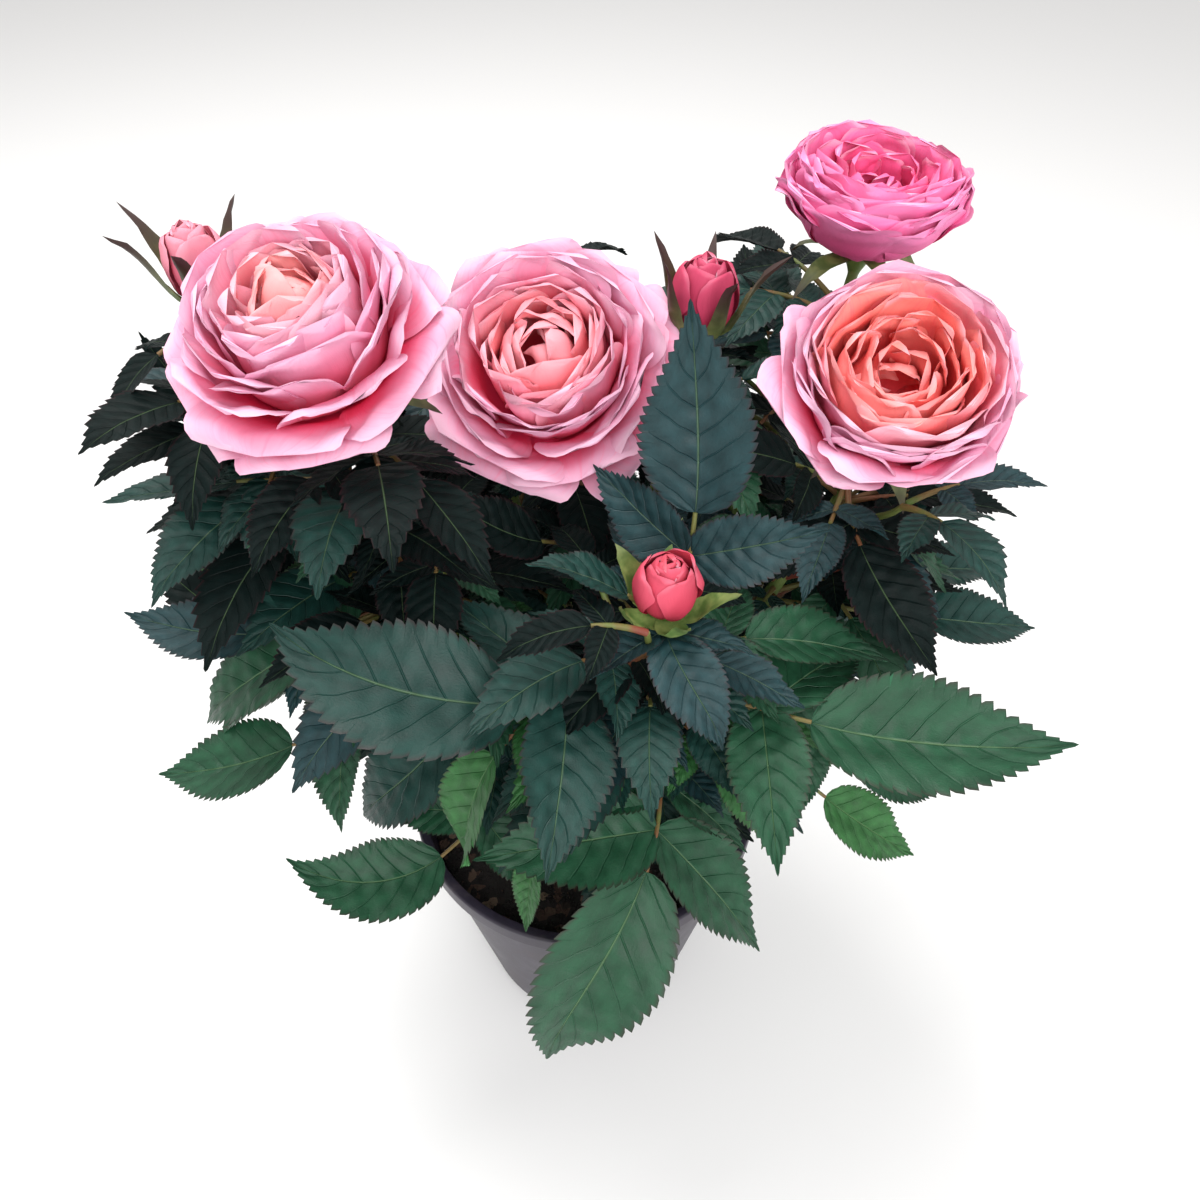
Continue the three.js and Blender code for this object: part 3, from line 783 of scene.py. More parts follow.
def spun(name, outline, sides):
    """A closed mesh turned about the upright from an outline of (radius, height) in metres that
    starts and ends on the axis."""
    rings = [p for p in outline if p[0] > 0]
    turn = np.linspace(0, 2 * math.pi, sides, endpoint=False)
    vertices = [(r * math.cos(a), r * math.sin(a), z) for r, z in rings for a in turn]
    pairs = [(i, (i + 1) % sides) for i in range(sides)]
    starts = range(0, (len(rings) - 1) * sides, sides)
    faces = [(k + i, k + j, k + sides + j, k + sides + i) for k in starts for i, j in pairs]
    first, last = len(vertices), len(vertices) + 1
    vertices += [(0, 0, outline[0][1]), (0, 0, outline[-1][1])]
    end = (len(rings) - 1) * sides
    for i, j in pairs:
        faces += [(first, j, i), (last, end + i, end + j)]
    mesh = bpy.data.meshes.new(name)
    mesh.from_pydata(vertices, [], faces)
    soften(mesh, 40)
    return link(name, mesh)


# ---- materials


class Look(Graph):
    """A new material's nodes."""

    def __init__(self, name, roughness, **settings):
        self.material = bpy.data.materials.new(name)
        self.material.use_nodes = True
        super().__init__(self.material.node_tree)
        self.shader = self.tree.nodes["Principled BSDF"].inputs
        for label, value in (settings | {"Roughness": roughness}).items():
            self.shader[label.replace("_", " ")].default_value = value

    def place(self):
        return self.add("ShaderNodeTexCoord").outputs["Object"]

    def held(self, name):
        return self.value(self.add("ShaderNodeAttribute", attribute_name=name), "Fac")

    def blend(self, colour, *layers):
        """A colour with layers over it, each a factor and the colour it brings."""
        for factor, over in layers:
            node = self.add("ShaderNodeMix", data_type="RGBA")
            for socket, value in ((0, factor), (6, colour), (7, over)):
                self.put(node.inputs[socket], value)
            colour = self.value(node, 2)
        return colour

    def blade(self, cells):
        """At a point of a blade: 1 on the lower skin, the side from -1 to 1, the share along."""
        u, v, _ = self.split(self.add("ShaderNodeUVMap", uv_map="OFBake"))
        u, v = (u * float(cells)).fraction(), (v * float(cells)).fraction()
        return u > 0.5, (u * 2.0).fraction() * 2.0 - 1.0, v

    def finish(self, body, relief=None, strength=0.0, depth=0.0):
        self.put(self.shader["Base Color"], body)
        if relief:
            inputs = {"Height": relief, "Strength": strength, "Distance": depth * MM}
            self.put(self.shader["Normal"], self.add("ShaderNodeBump", inputs))
        return self.material


def leaf_material(tint, base):
    """Satin above with sunk veins, painted shade along them and a purple margin; pale and dull
    below.
    """
    # The near-black painted-shade tint also gets little specular, so that it stays dark.
    g = Look("leaf " + tint, 0.45, Specular_IOR_Level=0.1 if tint == "dusk" else 0.34)
    under, side, v = g.blade(LEAF_CELLS)
    side = side * 1.06
    out = abs(side)
    beat = ((v - out * VEIN_SLANT) * float(LEAF_VEINS) + 0.5).fraction()
    away = abs(beat - 0.5)
    vein = away.smooth(0.06, 0.0) * out.smooth(0.98, 0.5)
    groove = away.smooth(0.5, 0.0)
    rib = out.smooth(0.034, 0.0)
    spot = g.combine(side * 1.0, v * 2.2, 0.0)
    fine = g.noise(spot, 34.0, 3.0, 0.7)
    cloud = g.noise(spot, 2.6, 4.0, 0.6)

    dark, light, pale = scaled(base, 0.52), scaled(base, 1.4, 0.001), scaled(base, 1.75, 0.004)
    body = g.blend(
        dark,
        (cloud.smooth(0.15, 0.85), light),
        (fine.smooth(0.35, 0.75) * 0.3, base),
        # Painted shade: the blade is darkened along its sunk vein grooves.
        (groove * 0.25, dark),
        (vein * 0.22, pale),
        (rib * 0.36, paint(0x7C9A6C)),
        (out.smooth(0.9, 1.03) * 0.7, paint(0x35191F)),
    )
    back = g.blend(pale, ((vein * 0.5).largest(rib), light))
    g.put(g.shader["Roughness"], cloud * 0.25 + 0.33 + under * 0.25)
    relief = fine * 0.35 - groove * 0.7 - vein.largest(rib)
    return g.finish(g.blend(body, (under, back)), relief, 0.75, 0.4)


def petal_material(name, rim, flush, heart, core, warm_ages=(0.5, 1.0)):
    """Petals pale at the rim with a painted highlight on the rolled edge, flushed lower down and
    warm towards the heart, with fine veins. The flush is their own deeper pink, made more saturated
    as painted light shining through the petals in the recesses.
    """
    g = Look(name, 0.65, Specular_IOR_Level=0.15)
    under, side, v = g.blade(FLOWER_CELLS)
    inner = g.held("heart")
    cloud = g.noise(g.place(), 90.0, 3.0, 0.6)
    streak = g.noise(g.combine(side * 14.0, v * 1.2, inner), 1.6, 3.0, 0.6)
    height = v + (cloud * 0.24 - 0.12) + abs(side) ** 2.0 * 0.25
    warmth = inner.smooth(*warm_ages)
    # Lower down the petals turn to the flush: their own deeper pink, its saturation partly painted
    # light shining through them.
    outer = g.blend(flush, (height.smooth(0.5, 1.0), rim))
    warm = g.blend(core, (height.smooth(0.35, 1.0), heart))
    body = g.blend(
        outer,
        (warmth, warm),
        (streak.smooth(0.45, 0.75) * 0.2, flush),
        # Painted highlight: a near-white pink along the top of the rolled rims.
        (height.smooth(0.94, 1.08) * 0.5, paint(0xEDC8DA)),
        (v.smooth(0.12, 0.0) * 0.5, paint(0xF3D9A0)),
    )
    back = g.blend(rim, (height.smooth(1.05, 0.5) * 0.6, flush), (warmth * 0.8, heart))
    return g.finish(g.blend(body, (under * 0.8, back)), streak, 0.25, 0.4)


def sepal_material():
    g = Look("sepal", 0.55)
    _, _, v = g.blade(FLOWER_CELLS)
    cloud = g.noise(g.place(), 300.0, 3.0)
    tip = (g.held("heart") * 0.6 + v * 0.6).smooth(0.35, 0.95)
    green = (cloud.smooth(0.35, 0.7), paint(0x93A860))
    return g.finish(g.blend(paint(0x5A7B3A), green, (tip, paint(0x3A2622))))


def stem_material(stem):
    """Brown wood low down, green stems above and reddish stalks, by their age and blush."""
    g = Look("stem", 0.55)
    grain = g.noise(g.vector("MULTIPLY", g.place(), (1400, 1400, 160)), 1.0, 5.0, 0.65)
    cloud = g.noise(g.place(), 120.0, 3.0)
    bark = g.blend(scaled(stem.wood, 0.45), (grain.smooth(0.35, 0.65), stem.wood))
    young = g.blend(stem.green, (cloud.smooth(0.35, 0.7), scaled(stem.green, 1.6)))
    ripe = (g.held("age") + cloud * 0.2).smooth(0.2, 0.6)
    red = g.held("blush") * cloud.smooth(0.2, 0.6)
    return g.finish(g.blend(bark, (ripe, young), (red, stem.blush)), grain, 0.5, 0.3)


def pot_material(plastic):
    """Dull thin plastic with faint streaks and a dusting of dry soil."""
    g = Look("pot plastic", 0.42)
    streaks = g.noise(g.vector("MULTIPLY", g.place(), (160, 160, 22)), 1.0, 4.0, 0.6)
    dust = g.noise(g.place(), 60.0, 6.0, 0.7)
    light = (streaks.smooth(0.35, 0.7), scaled(plastic, 1.35))
    body = g.blend(plastic, light, (dust.smooth(0.52, 0.8) * 0.35, paint(0x6E625E)))
    g.put(g.shader["Roughness"], dust * 0.3 + 0.28)
    return g.finish(body, g.noise(g.place(), 2400.0, 2.0), 0.2, 0.15)


def soil_material(earth):
    g = Look("soil", 0.9)
    coarse = g.noise(g.place(), 260.0, 5.0, 0.7)
    bits = g.add("ShaderNodeTexVoronoi", {"Vector": g.place(), "Scale": 420.0})
    pick = g.split(bits.outputs["Color"])[0]
    body = g.blend(
        scaled(earth, 0.4),
        (coarse.smooth(0.35, 0.7), earth),
        (pick.smooth(0.78, 0.86) * 0.7, paint(0x4B352B)),
        (pick.smooth(0.95, 0.98) * 0.6, paint(0x8A7563)),
    )
    return g.finish(body, coarse, 0.8, 1.0)


# ---- the crown


def solid_corners(node):
    """The corners of a solid's mesh, in millimetres."""
    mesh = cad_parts[node].data
    corners = np.empty(len(mesh.vertices) * 3, np.float32)
    mesh.vertices.foreach_get("co", corners)
    return corners.reshape(-1, 3) / MM


def nearest(points, place):
    return np.linalg.norm(points - place, axis=1).min()


class Crown:
    """Grows the leaves of all shoots: the ones the solids have, and finer ones in between."""

    # The size of the finer leaves, the room they ask for and the turn from the solids' leaves.
    PASSES = ((1.0, 5.0, 0), (0.85, 4.2, 48), (0.7, 3.4, 96))
    TIP_MATCH = 0.4
    LARGE_LEAFLET = 28
    FINER_OVERLAP = 24
    TWIG_ROOM = 4.0
    TWIG = (-40, 16, 14, 3, 0)
    TWIG_LEAVES = ((0.5, 70), (0.78, -70), (1.0, 0))

    def __init__(self, settings):
        self.settings = settings
        self.leaves, self.small, self.twigs = ({name: [] for name in SHOOTS} for _ in range(3))
        self.taken = np.vstack(list(SHOOT_POINTS.values()))
        for name, shoot in SHOOTS.items():
            self.repeat_solid(name, shoot)
        for name, shoot in SHOOTS.items():
            for leaf in shoot.get("more", ()):
                self.keep(self.leaves[name], leaf, shoot_point(shoot, leaf[0]))
        for scale, room, turn in self.PASSES:
            for name, shoot in SHOOTS.items():
                self.add_finer(name, shoot, scale, room, turn)
        for name, shoot in SHOOTS.items():
            self.add_twigs(name, shoot)

    def keep(self, kept, leaf, root):
        stalk, blades = compound_leaf(root, leaf)
        kept.append((stalk, blades, leaf[9] if len(leaf) > 9 else None))
        for places, faces, length in blades:
            spots = [places[[3, 6, 9, 12]]]
            if length > self.LARGE_LEAFLET:
                side = np.cross(faces, np.gradient(places, axis=0))[[3, 5, 8]]
                side = unit(side) * length * BLADE_HALF_WIDTH * 0.6
                spots += [places[[3, 5, 8]] + side, places[[3, 5, 8]] - side]
            self.taken = np.vstack([self.taken, *spots])

    def repeat_solid(self, name, shoot):
        """The leaves whose end leaflet has its tip on a corner of the solid."""
        corners = solid_corners("foliage_" + name)
        for tries in [[leaf] for leaf in shoot["leaves"]] + leaves_by_rule(*shoot["rule"]):
            for leaf in tries:
                root = shoot_point(shoot, leaf[0])
                if nearest(corners, leaf_line(root, leaf)(1.0)[0][0]) < self.TIP_MATCH:
                    self.keep(self.leaves[name], leaf, root)
                    break

    def keep_small(self, name, leaf, root, room):
        """Keeps a finer leaf where it has room, and tells whether it has."""
        lines = [places for places, _, _ in compound_leaf(root, leaf)[1]]
        tips = [places[k] for places in lines for k in (6, 12)]
        spots = [places[k] for places in lines for k in (5, 8, 12)]
        fits = in_own_space(name, tips, self.FINER_OVERLAP) and all(
            nearest(self.taken, spot) > room for spot in spots
        )
        if fits:
            self.keep(self.small[name], leaf, root)
        return fits

    def add_finer(self, name, shoot, scale, room, turn):
        count, low, high, first, seed, size = shoot["rule"]
        count, low, size = round(count * self.settings.more), low - 0.14, max(0.75, size) * scale
        for tries in leaves_by_rule(count, low, high, first + 70 + turn, seed + 500 + turn, size):
            for leaf in tries:
                if self.keep_small(name, leaf, shoot_point(shoot, leaf[0]), room):
                    break

    def add_twigs(self, name, shoot):
        """Side twigs that turn up towards the light, each with a few small leaves."""
        _, low, high, first, seed, size = shoot["rule"]
        rows = leaves_by_rule(self.settings.twigs, low, high, first + 25, seed + 900, size)
        random = seeded(seed + 40)
        for tries in rows:
            for place, direction, swing, rise, *_ in tries:
                twig = leaf_line(shoot_point(shoot, place), (0, direction, swing, rise, *self.TWIG))
                reached = 0
                for share, turn in self.TWIG_LEAVES:
                    small = (
                        0,
                        direction + turn + about(random, 30),
                        about(random, 30),
                        20 + 25 * random(),
                        50 + 40 * random(),
                        11 + 5 * random(),
                        17 + 7 * random(),
                        3,
                        about(random, 20),
                    )
                    if self.keep_small(name, small, twig(share)[0][0], self.TWIG_ROOM):
                        reached = share
                if reached:
                    self.twigs[name].append(twig(np.linspace(0, reached, 9))[0])
                    break


def tint_of(tip, random):
    """Low outer leaves are fresh, upper ones deep green, and inner ones near black: painted shade.
    """
    inside = (tip[0] / CROWN["side"]) ** 2 + ((tip[1] - CROWN["middle"]) / CROWN["depth"]) ** 2
    weights = (0.4, 0.26, 0.03, 0.0, 0.17, 0.14)
    if tip[0] > -60 and tip[1] < -18 and tip[2] < 178:
        weights = (0.36, 0.36, 0.08, 0.02, 0.03, 0.15)
    elif inside < 0.42 or tip[2] > 165:
        weights = (0.26, 0.08, 0.0, 0.0, 0.52, 0.14)
    elif tip[2] < 115:
        weights = (0.24, 0.42, 0.2, 0.06, 0.06, 0.02)
    pick = random() * sum(weights)
    for tint, weight in zip(LEAF_TINTS, weights):
        pick -= weight
        if pick <= 0:
            return tint
    return LEAF_TINTS[0]


# ---- flowers

# Each row of numbers follows the petals from the oldest to the heart: in a flat bloom and in a
# cupped one. reach, curl and half are shares of the radius, rise of the height.
STAGES = (0, 0.12, 0.26, 0.42, 0.58, 0.74, 0.88, 1)
PETAL_FORMS = {
    "reach": (
        (0.93, 0.9, 0.82, 0.7, 0.55, 0.4, 0.28, 0.16),
        (0.9, 0.88, 0.83, 0.74, 0.62, 0.46, 0.29, 0.12),
    ),
    "rise": (
        (0.42, 0.56, 0.7, 0.82, 0.9, 0.91, 0.8, 0.68),
        (0.6, 0.72, 0.84, 0.93, 0.97, 0.96, 0.94, 0.86),
    ),
    "lean": ((30, 42, 58, 72, 82, 90, 98, 108), (56, 62, 70, 78, 86, 94, 106, 122)),
    "roll": ((95, 95, 90, 75, 55, 30, -62, -95), (95, 80, 60, 46, 34, 26, 10, -10)),
    "curl": (
        (0.15, 0.13, 0.11, 0.09, 0.07, 0.07, 0.26, 0.28),
        (0.11, 0.1, 0.08, 0.06, 0.06, 0.05, 0.05, 0.1),
    ),
    "half": (
        (0.62, 0.62, 0.6, 0.56, 0.5, 0.44, 0.38, 0.32),
        (0.8, 0.78, 0.72, 0.62, 0.52, 0.44, 0.36, 0.26),
    ),
}
BOWL_POINTS = 13
ROLL_STEPS = 9
BUD_PETALS = 12
SEPALS = 5
LUMPS = 170


def flower_axis(name):
    """The way a bloom or bud looks. A bloom leans a little more than its stem."""
    shoot = SHOOTS[name]
    toward, tilt = BLOOMS[name]["face"] if name in BLOOMS else (shoot["toward"], shoot["tilt"])
    return heading(toward, 90 - tilt)


def lift_of(name):
    return BLOOMS[name]["lift"] if name in BLOOMS else 0


def arch(*corners):
    """A smooth curve of places in (reach, height) from its first to its last corner."""
    return cubic(*(np.array(p, float) for p in corners), np.linspace(0, 1, BOWL_POINTS)[:, None])


def petal_profile(start, shoulder, lean, roll, curl):
    """A petal's middle line in (reach, height): out along the bowl to its shoulder, where it
    leans at an angle to level, and then rolled back through an angle about a small radius."""
    start, shoulder = np.array(start, float), np.array(shoulder, float)
    chord = np.linalg.norm(shoulder - start)
    way = np.array([math.cos(math.radians(lean)), math.sin(math.radians(lean))])
    out = start + [0.5 * chord, 0.04 * chord]
    bowl = arch(start, out, shoulder - way * 0.42 * chord, shoulder)
    angles = np.radians(lean - roll * (np.arange(ROLL_STEPS) + 0.5) / ROLL_STEPS)
    hop = max(0.25, curl * math.radians(abs(roll)) / ROLL_STEPS)
    steps = np.column_stack([np.cos(angles), np.sin(angles)])
    return np.vstack([bowl, shoulder + np.cumsum(steps, 0) * hop])


def lay_petal(lines, name, profile, around, half, cell, heart, phase, wrap=1.0, tightest=3.0):
    """Adds a petal's line from its profile, facing the middle of the flower and bent round it."""
    steps = np.gradient(profile, axis=0)
    steps = steps / np.linalg.norm(steps, axis=1, keepdims=True)
    out = heading(around, 0)
    places = profile[:, :1] * out + profile[:, 1:] * UP
    faces = -steps[:, 1:] * out + steps[:, :1] * UP
    axis = flower_axis(name)
    turn = np.array(Vector((0, 0, 1)).rotation_difference(Vector(axis)).to_matrix())
    base = np.array(SHOOTS[name]["top"], float) + axis * (GAP + lift_of(name))
    length = np.linalg.norm(np.diff(profile, axis=0), axis=1).sum()
    bend = wrap * steps[:, 1] / np.maximum(profile[:, 0], tightest)
    bend = np.where(np.abs(bend) < 0.002, 0.002, bend)
    count = len(places)
    form = np.column_stack([np.full(count, half * MM), bend / MM, np.full(count, phase)])
    facts = [length * MM, cell, heart]
    lines.add(places @ turn.T + base, face=faces @ turn.T, form=form, facts=facts)


def bloom_lines(name, petals):
    """The petals of an open bloom, from the oldest outside to the heart. The oldest hang and are
    rolled back furthest, and a more open bloom has more of them."""
    bloom = BLOOMS[name]
    radius, height, spread = bloom["radius"], bloom["height"], bloom["open"]
    forms = [lerp(np.array(a), np.array(b), bloom["cup"]) for a, b in PETAL_FORMS.values()]
    random = seeded(bloom["seed"] * 97)
    lines = Lines()
    for k in range(petals):
        t = k / (petals - 1)
        old = spread * max(0, 1 - t / (0.35 + 0.35 * spread))
        reach, rise, lean, roll, curl, half = (np.interp(t, STAGES, form) for form in forms)
        rise -= bloom["sink"] * max(0, t - 0.45) / 0.55 + 0.22 * old
        lean -= 25 * old
        roll = (roll + 35 * old) * lerp(0.75, 1.2, random())
        lean += about(random, 14 * max(0, t - 0.3))
        reach *= radius * lerp(0.94, 1.06, random())
        rise = height * (rise + about(random, 0.09))
        start = (radius * 0.07, height * (0.02 + 0.1 * t))
        profile = petal_profile(start, (reach, rise), lean, roll, radius * curl)
        half = radius * half * lerp(0.85, 1.1, random())
        around = bloom["turn"] + PETAL_TURN * k + about(random, lerp(22, 60, t))
        wrap = lerp(0.75, 1.0, random()) if t < 0.5 else lerp(0.5, 2.2, random() ** 2)
        lay_petal(lines, name, profile, around, half, k, t, random() * 40, wrap)
    return lines


def bud_lines(name):
    """A bud's petals, wrapped round each other, with the oldest beginning to roll back."""
    bud = BUDS[name]
    radius, height = bud["radius"], bud["height"]
    random = seeded(bud["seed"] * 61)
    lines = Lines()
    for k in range(BUD_PETALS):
        t = k / (BUD_PETALS - 1)
        reach = radius * lerp(0.92, 0.3, t)
        shoulder = (reach * lerp(0.86, 0.5, t), height * lerp(0.8, 0.94, t))
        bowl = arch((0.6, 0.3), (reach * 1.5, height * 0.05), (reach * 1.2, height * 0.6), shoulder)
        lean = 104 if t > 0.3 else 96
        roll = lerp(110, -10, min(1, t / 0.6)) * lerp(0.6, 1.2, random())
        tip = petal_profile((0, 0), shoulder, lean, roll, 0.9)[BOWL_POINTS:]
        profile = np.vstack([bowl, tip])
        heart = 0.15 + 0.6 * t
        around = 40 + PETAL_TURN * k
        lay_petal(lines, name, profile, around, radius, k, heart, random() * 40, 1.0, 1.6)
    return lines


def sepal_lines(name, lines, cell):
    """Five sepals: they fold back under a bloom, and clasp a bud with their tips standing off."""
    random = seeded(len(name) * 71 + 3)
    for k in range(SEPALS):
        around = 360 / SEPALS * k + about(random, 20)
        long = lerp(0.85, 1.15, random())
        if name in BLOOMS:
            corners = [(1.5, -1), (7 * long, 1), (12 * long, 1), (19 * long, -5 - 6 * random())]
            half, brown = 3.0, 0.5
        else:
            r, h = BUDS[name]["radius"], BUDS[name]["height"]
            edge = r + (5 + 7 * random())
            corners = [(1.2, -0.5), (r * 1.45, h * 0.02), (r * 1.0, h * 0.6), (edge, h * long)]
            half, brown = 2.5, 0.75
            if name == "front":
                corners = [(1.2, -0.5), (r * 1.5, -1), (r * 1.25, h * 0.3), (edge, h * 0.6 * long)]
                half, brown = 3.6, 0.1
        profile = arch(*corners)
        lay_petal(lines, name, profile, around, half, cell + k, brown, random() * 40, 0.8, 2.0)


# ---- operators


class Maker:
    """Shared by the operators that make a piece."""

    bl_options = {"REGISTER", "UNDO"}

    @staticmethod
    def settle(piece, slot, *nodes):
        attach(piece, "root")
        if nodes:
            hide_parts(*nodes)


class ROSE_OT_pot(Maker, bpy.types.Operator):
    """Make the tapering pot with its lipped rim"""

    bl_idname = "rose.pot"
    bl_label = "Pot"

    def execute(self, context):
        pot = context.scene.rose_pot
        top, rim, foot = pot.height / MM, pot.rim_radius / MM, pot.foot_radius / MM
        lip = top - pot.lip_depth / MM
        wall, step, bead, floor = 1.6, 1.4, 0.8, 2

        def side(z):
            return lerp(foot, rim - step, z / top)

        outline = [(0, 0), (side(0) - 3, 0), (side(0) - 0.8, 0.15), (side(0), 1)]
        outline += [(side(z), z) for z in np.linspace(3, lip - 2.2, 24)]
        outline += [(side(lip) + 0.2, lip - 1.2), (rim - 0.4, lip - 0.5), (rim - 0.05, lip + 0.3)]
        outline += [(rim, lip + 1), (rim, top - 1.2)]
        for a in np.linspace(0, math.pi / 2, 6):
            outline.append((rim - bead + bead * math.cos(a), top - bead + bead * math.sin(a)))
        inner = side(top) - wall
        outline += [(inner + 0.5, top), (inner + 0.1, top - 0.2), (inner, top - 0.8)]
        outline += [(side(z) - wall, z) for z in np.linspace(top - 4, floor, 12)]
        outline += [(0, floor)]
        piece = spun("pot_shell", [(r * MM, z * MM) for r, z in outline], 128)
        piece.data.materials.append(pot_material(pot.plastic))
        self.settle(piece, "pot", "pot")
        return {"FINISHED"}


class ROSE_OT_soil(Maker, bpy.types.Operator):
    """Make the soil with its uneven top and crumbs"""

    bl_idname = "rose.soil"
    bl_label = "Soil"

    def execute(self, context):
        pot = context.scene.rose_pot
        level = SOIL_LEVEL * MM
        edge_z = level - 2 * MM
        step, clear, low = 1.4 * MM, 1.9 * MM, 2.3 * MM
        wall = lerp(pot.foot_radius, pot.rim_radius - step, edge_z / pot.height) - clear
        foot = lerp(pot.foot_radius, pot.rim_radius - step, 2.3 / 90) - clear
        outline = [(0, low), (foot, low), (wall, edge_z)]
        for r in np.linspace(wall - 0.8 * MM, 0.8 * MM, 46):
            outline.append((r, lerp(edge_z, level, min(1, (wall - r) / (9 * MM)))))
        bed = spun("soil bed", outline + [(0, level)], 120)
        random = seeded(77)
        lumps = [
            (about(random, 96), about(random, 96), 2 + 5 * random(), random())
            for _ in range(LUMPS)
        ]
        for vertex in bed.data.vertices:
            if vertex.co.z < level - 3 * MM:
                continue
            x, y = vertex.co.x / MM, vertex.co.y / MM
            inside = min(1, max(0, (wall / MM - math.hypot(x, y)) / 3))
            rise = sum(
                (h * 1.7 - 0.6) * math.exp(-((x - cx) ** 2 + (y - cy) ** 2) / w**2)
                for cx, cy, w, h in lumps
            )
            vertex.co.z += 0.55 * rise * inside * MM
        tree = crumb_tree("soil crumbs", soil_material(pot.earth))
        made = grown(bed, "soil_bed", tree, {"Density": 330000.0, "Size": 0.9 * MM, "Seed": 4})
        self.settle(made, "soil", "soil")
        return {"FINISHED"}


class ROSE_OT_canes(Maker, bpy.types.Operator):
    """Make the canes and stems with their bark"""

    bl_idname = "rose.canes"
    bl_label = "Canes and stems"

    def execute(self, context):
        stem = context.scene.rose_stem
        lines = Lines()
        share = np.linspace(0, 1, 70)
        for shoot in SHOOTS.values():
            places = shoot_point(shoot, share)
            above = places[:, 2] - SOIL_LEVEL - GAP
            flare = ROOT_FLARE * np.maximum(0, 1 - above / FLARE_HEIGHT) ** 2
            knots = KNOT_HEIGHT * np.maximum(0, np.cos(share * 2 * math.pi * KNOTS)) ** 12
            taper = lerp(CANE_FOOT_RADIUS, STEM_TOP_RADIUS, np.minimum(1, share * STEM_TAPER))
            radius = (taper + flare + knots) * MM
            lines.add(places, radius=radius, age=share**0.8, blush=0.25 * share)
        tree = limb_tree("ridged limbs", stem_material(stem))
        settings = {"Sides": stem.sides, "Relief": stem.relief}
        piece = grown(lines.build("stem lines"), "canes_and_stems", tree, settings)
        self.settle(piece, "cane", *(f"cane_{name}" for name in SHOOTS))
        return {"FINISHED"}


class ROSE_OT_leaves(Maker, bpy.types.Operator):
    """Make the leaves of each mass, with their stalks and twigs"""

    bl_idname = "rose.leaves"
    bl_label = "Leaves, stalks and twigs"

    def execute(self, context):
        leaf, stem = context.scene.rose_leaf, context.scene.rose_stem
        crown = Crown(leaf)
        materials = [leaf_material(tint, getattr(leaf, tint)) for tint in LEAF_TINTS]
        outline = (0.38, 0.6)
        large = blade_shape("leaflet", 0, 6, *outline, 1.35, leaf.teeth, leaf.tooth, 0.01)
        little = blade_shape("small leaflet", 0, 2, *outline, 1.3, 13, leaf.tooth * 0.95)
        tree = blade_tree("leaf blades", materials, LEAF_CELLS)
        stalks = Lines()
        settings = {"Fold": leaf.fold, "Wave": leaf.wave, "Thickness": leaf.thickness}
        kinds = (("leaves_", large, crown.leaves), ("small_leaves_", little, crown.small))
        for kind, blade, masses in kinds:
            for name, leaves in masses.items():
                random = seeded(len(name) * 131 + len(kind))
                lines = Lines()
                for stalk, blades, tint in leaves:
                    tint = LEAF_TINTS.index(tint or tint_of(blades[0][0][-1], random))
                    for places, faces, length in blades:
                        half = length * BLADE_HALF_WIDTH * lerp(0.95, 1.08, random()) * MM
                        form = [half, 4 + 10 * random(), 40 * random()]
                        lines.add(places, face=faces, form=form, facts=[length * MM, tint, 0])
                    radius = np.linspace(STALK_RADIUS, STALK_TIP_RADIUS, len(stalk)) * MM
                    stalks.add(stalk, radius=radius, age=0.6, blush=0.55 + 0.45 * random())
                source = lines.build("leaf lines")
                piece = grown(source, kind + name, tree, settings | {"Blade": blade})
                self.settle(piece, "foliage", "foliage_" + name)
            bpy.data.objects.remove(blade)
        for twigs in crown.twigs.values():
            for twig in twigs:
                radius = np.linspace(1.1, 0.7, len(twig)) * MM
                stalks.add(twig, radius=radius, age=0.75, blush=0.3)
        limbs = limb_tree("leaf stalks", stem_material(stem))
        settings = {"Sides": 7, "Relief": 0.1 * MM}
        self.settle(grown(stalks.build("stalk lines"), "leaf_stalks", limbs, settings), "foliage")
        return {"FINISHED"}


class ROSE_OT_blooms(Maker, bpy.types.Operator):
    """Make the open blooms"""

    bl_idname = "rose.blooms"
    bl_label = "Blooms"

    def execute(self, context):
        flower = context.scene.rose_flower
        rim, flush, heart = flower.rim, flower.flush, flower.heart
        # The second colour of each scheme is the flush, its saturation partly painted light shining
        # through the petals.
        schemes = {
            "left": (rim, flush, heart, paint(0xFB6A78)),
            "middle": (rim, flush, paint(0xFFA2A8), paint(0xFB5266)),
            "right": (rim, flush, paint(0xFF9A90), paint(0xFC5A62)),
            "back": map(paint, (0xF490C2, 0xEA3E84, 0xF5669C, 0xE6347A)),
        }
        blade = blade_shape("petal", 16, 16, 0.76, 0.5, 0.4, gather=1.8)
        settings = {"Blade": blade, "Wave": flower.wave, "Thickness": flower.thickness}
        settings |= {"Fold": 0.0, "Uneven": 0.2, "Reflex": 0.7}
        for name in BLOOMS:
            material = petal_material("petals " + name, *schemes[name], BLOOMS[name]["warm"])
            tree = blade_tree("petals " + name, [material], FLOWER_CELLS)
            lines = bloom_lines(name, flower.petals).build("petal lines")
            piece = grown(lines, "petals_" + name, tree, settings)
            self.settle(piece, "bloom", "bloom_" + name)
        bpy.data.objects.remove(blade)
        return {"FINISHED"}


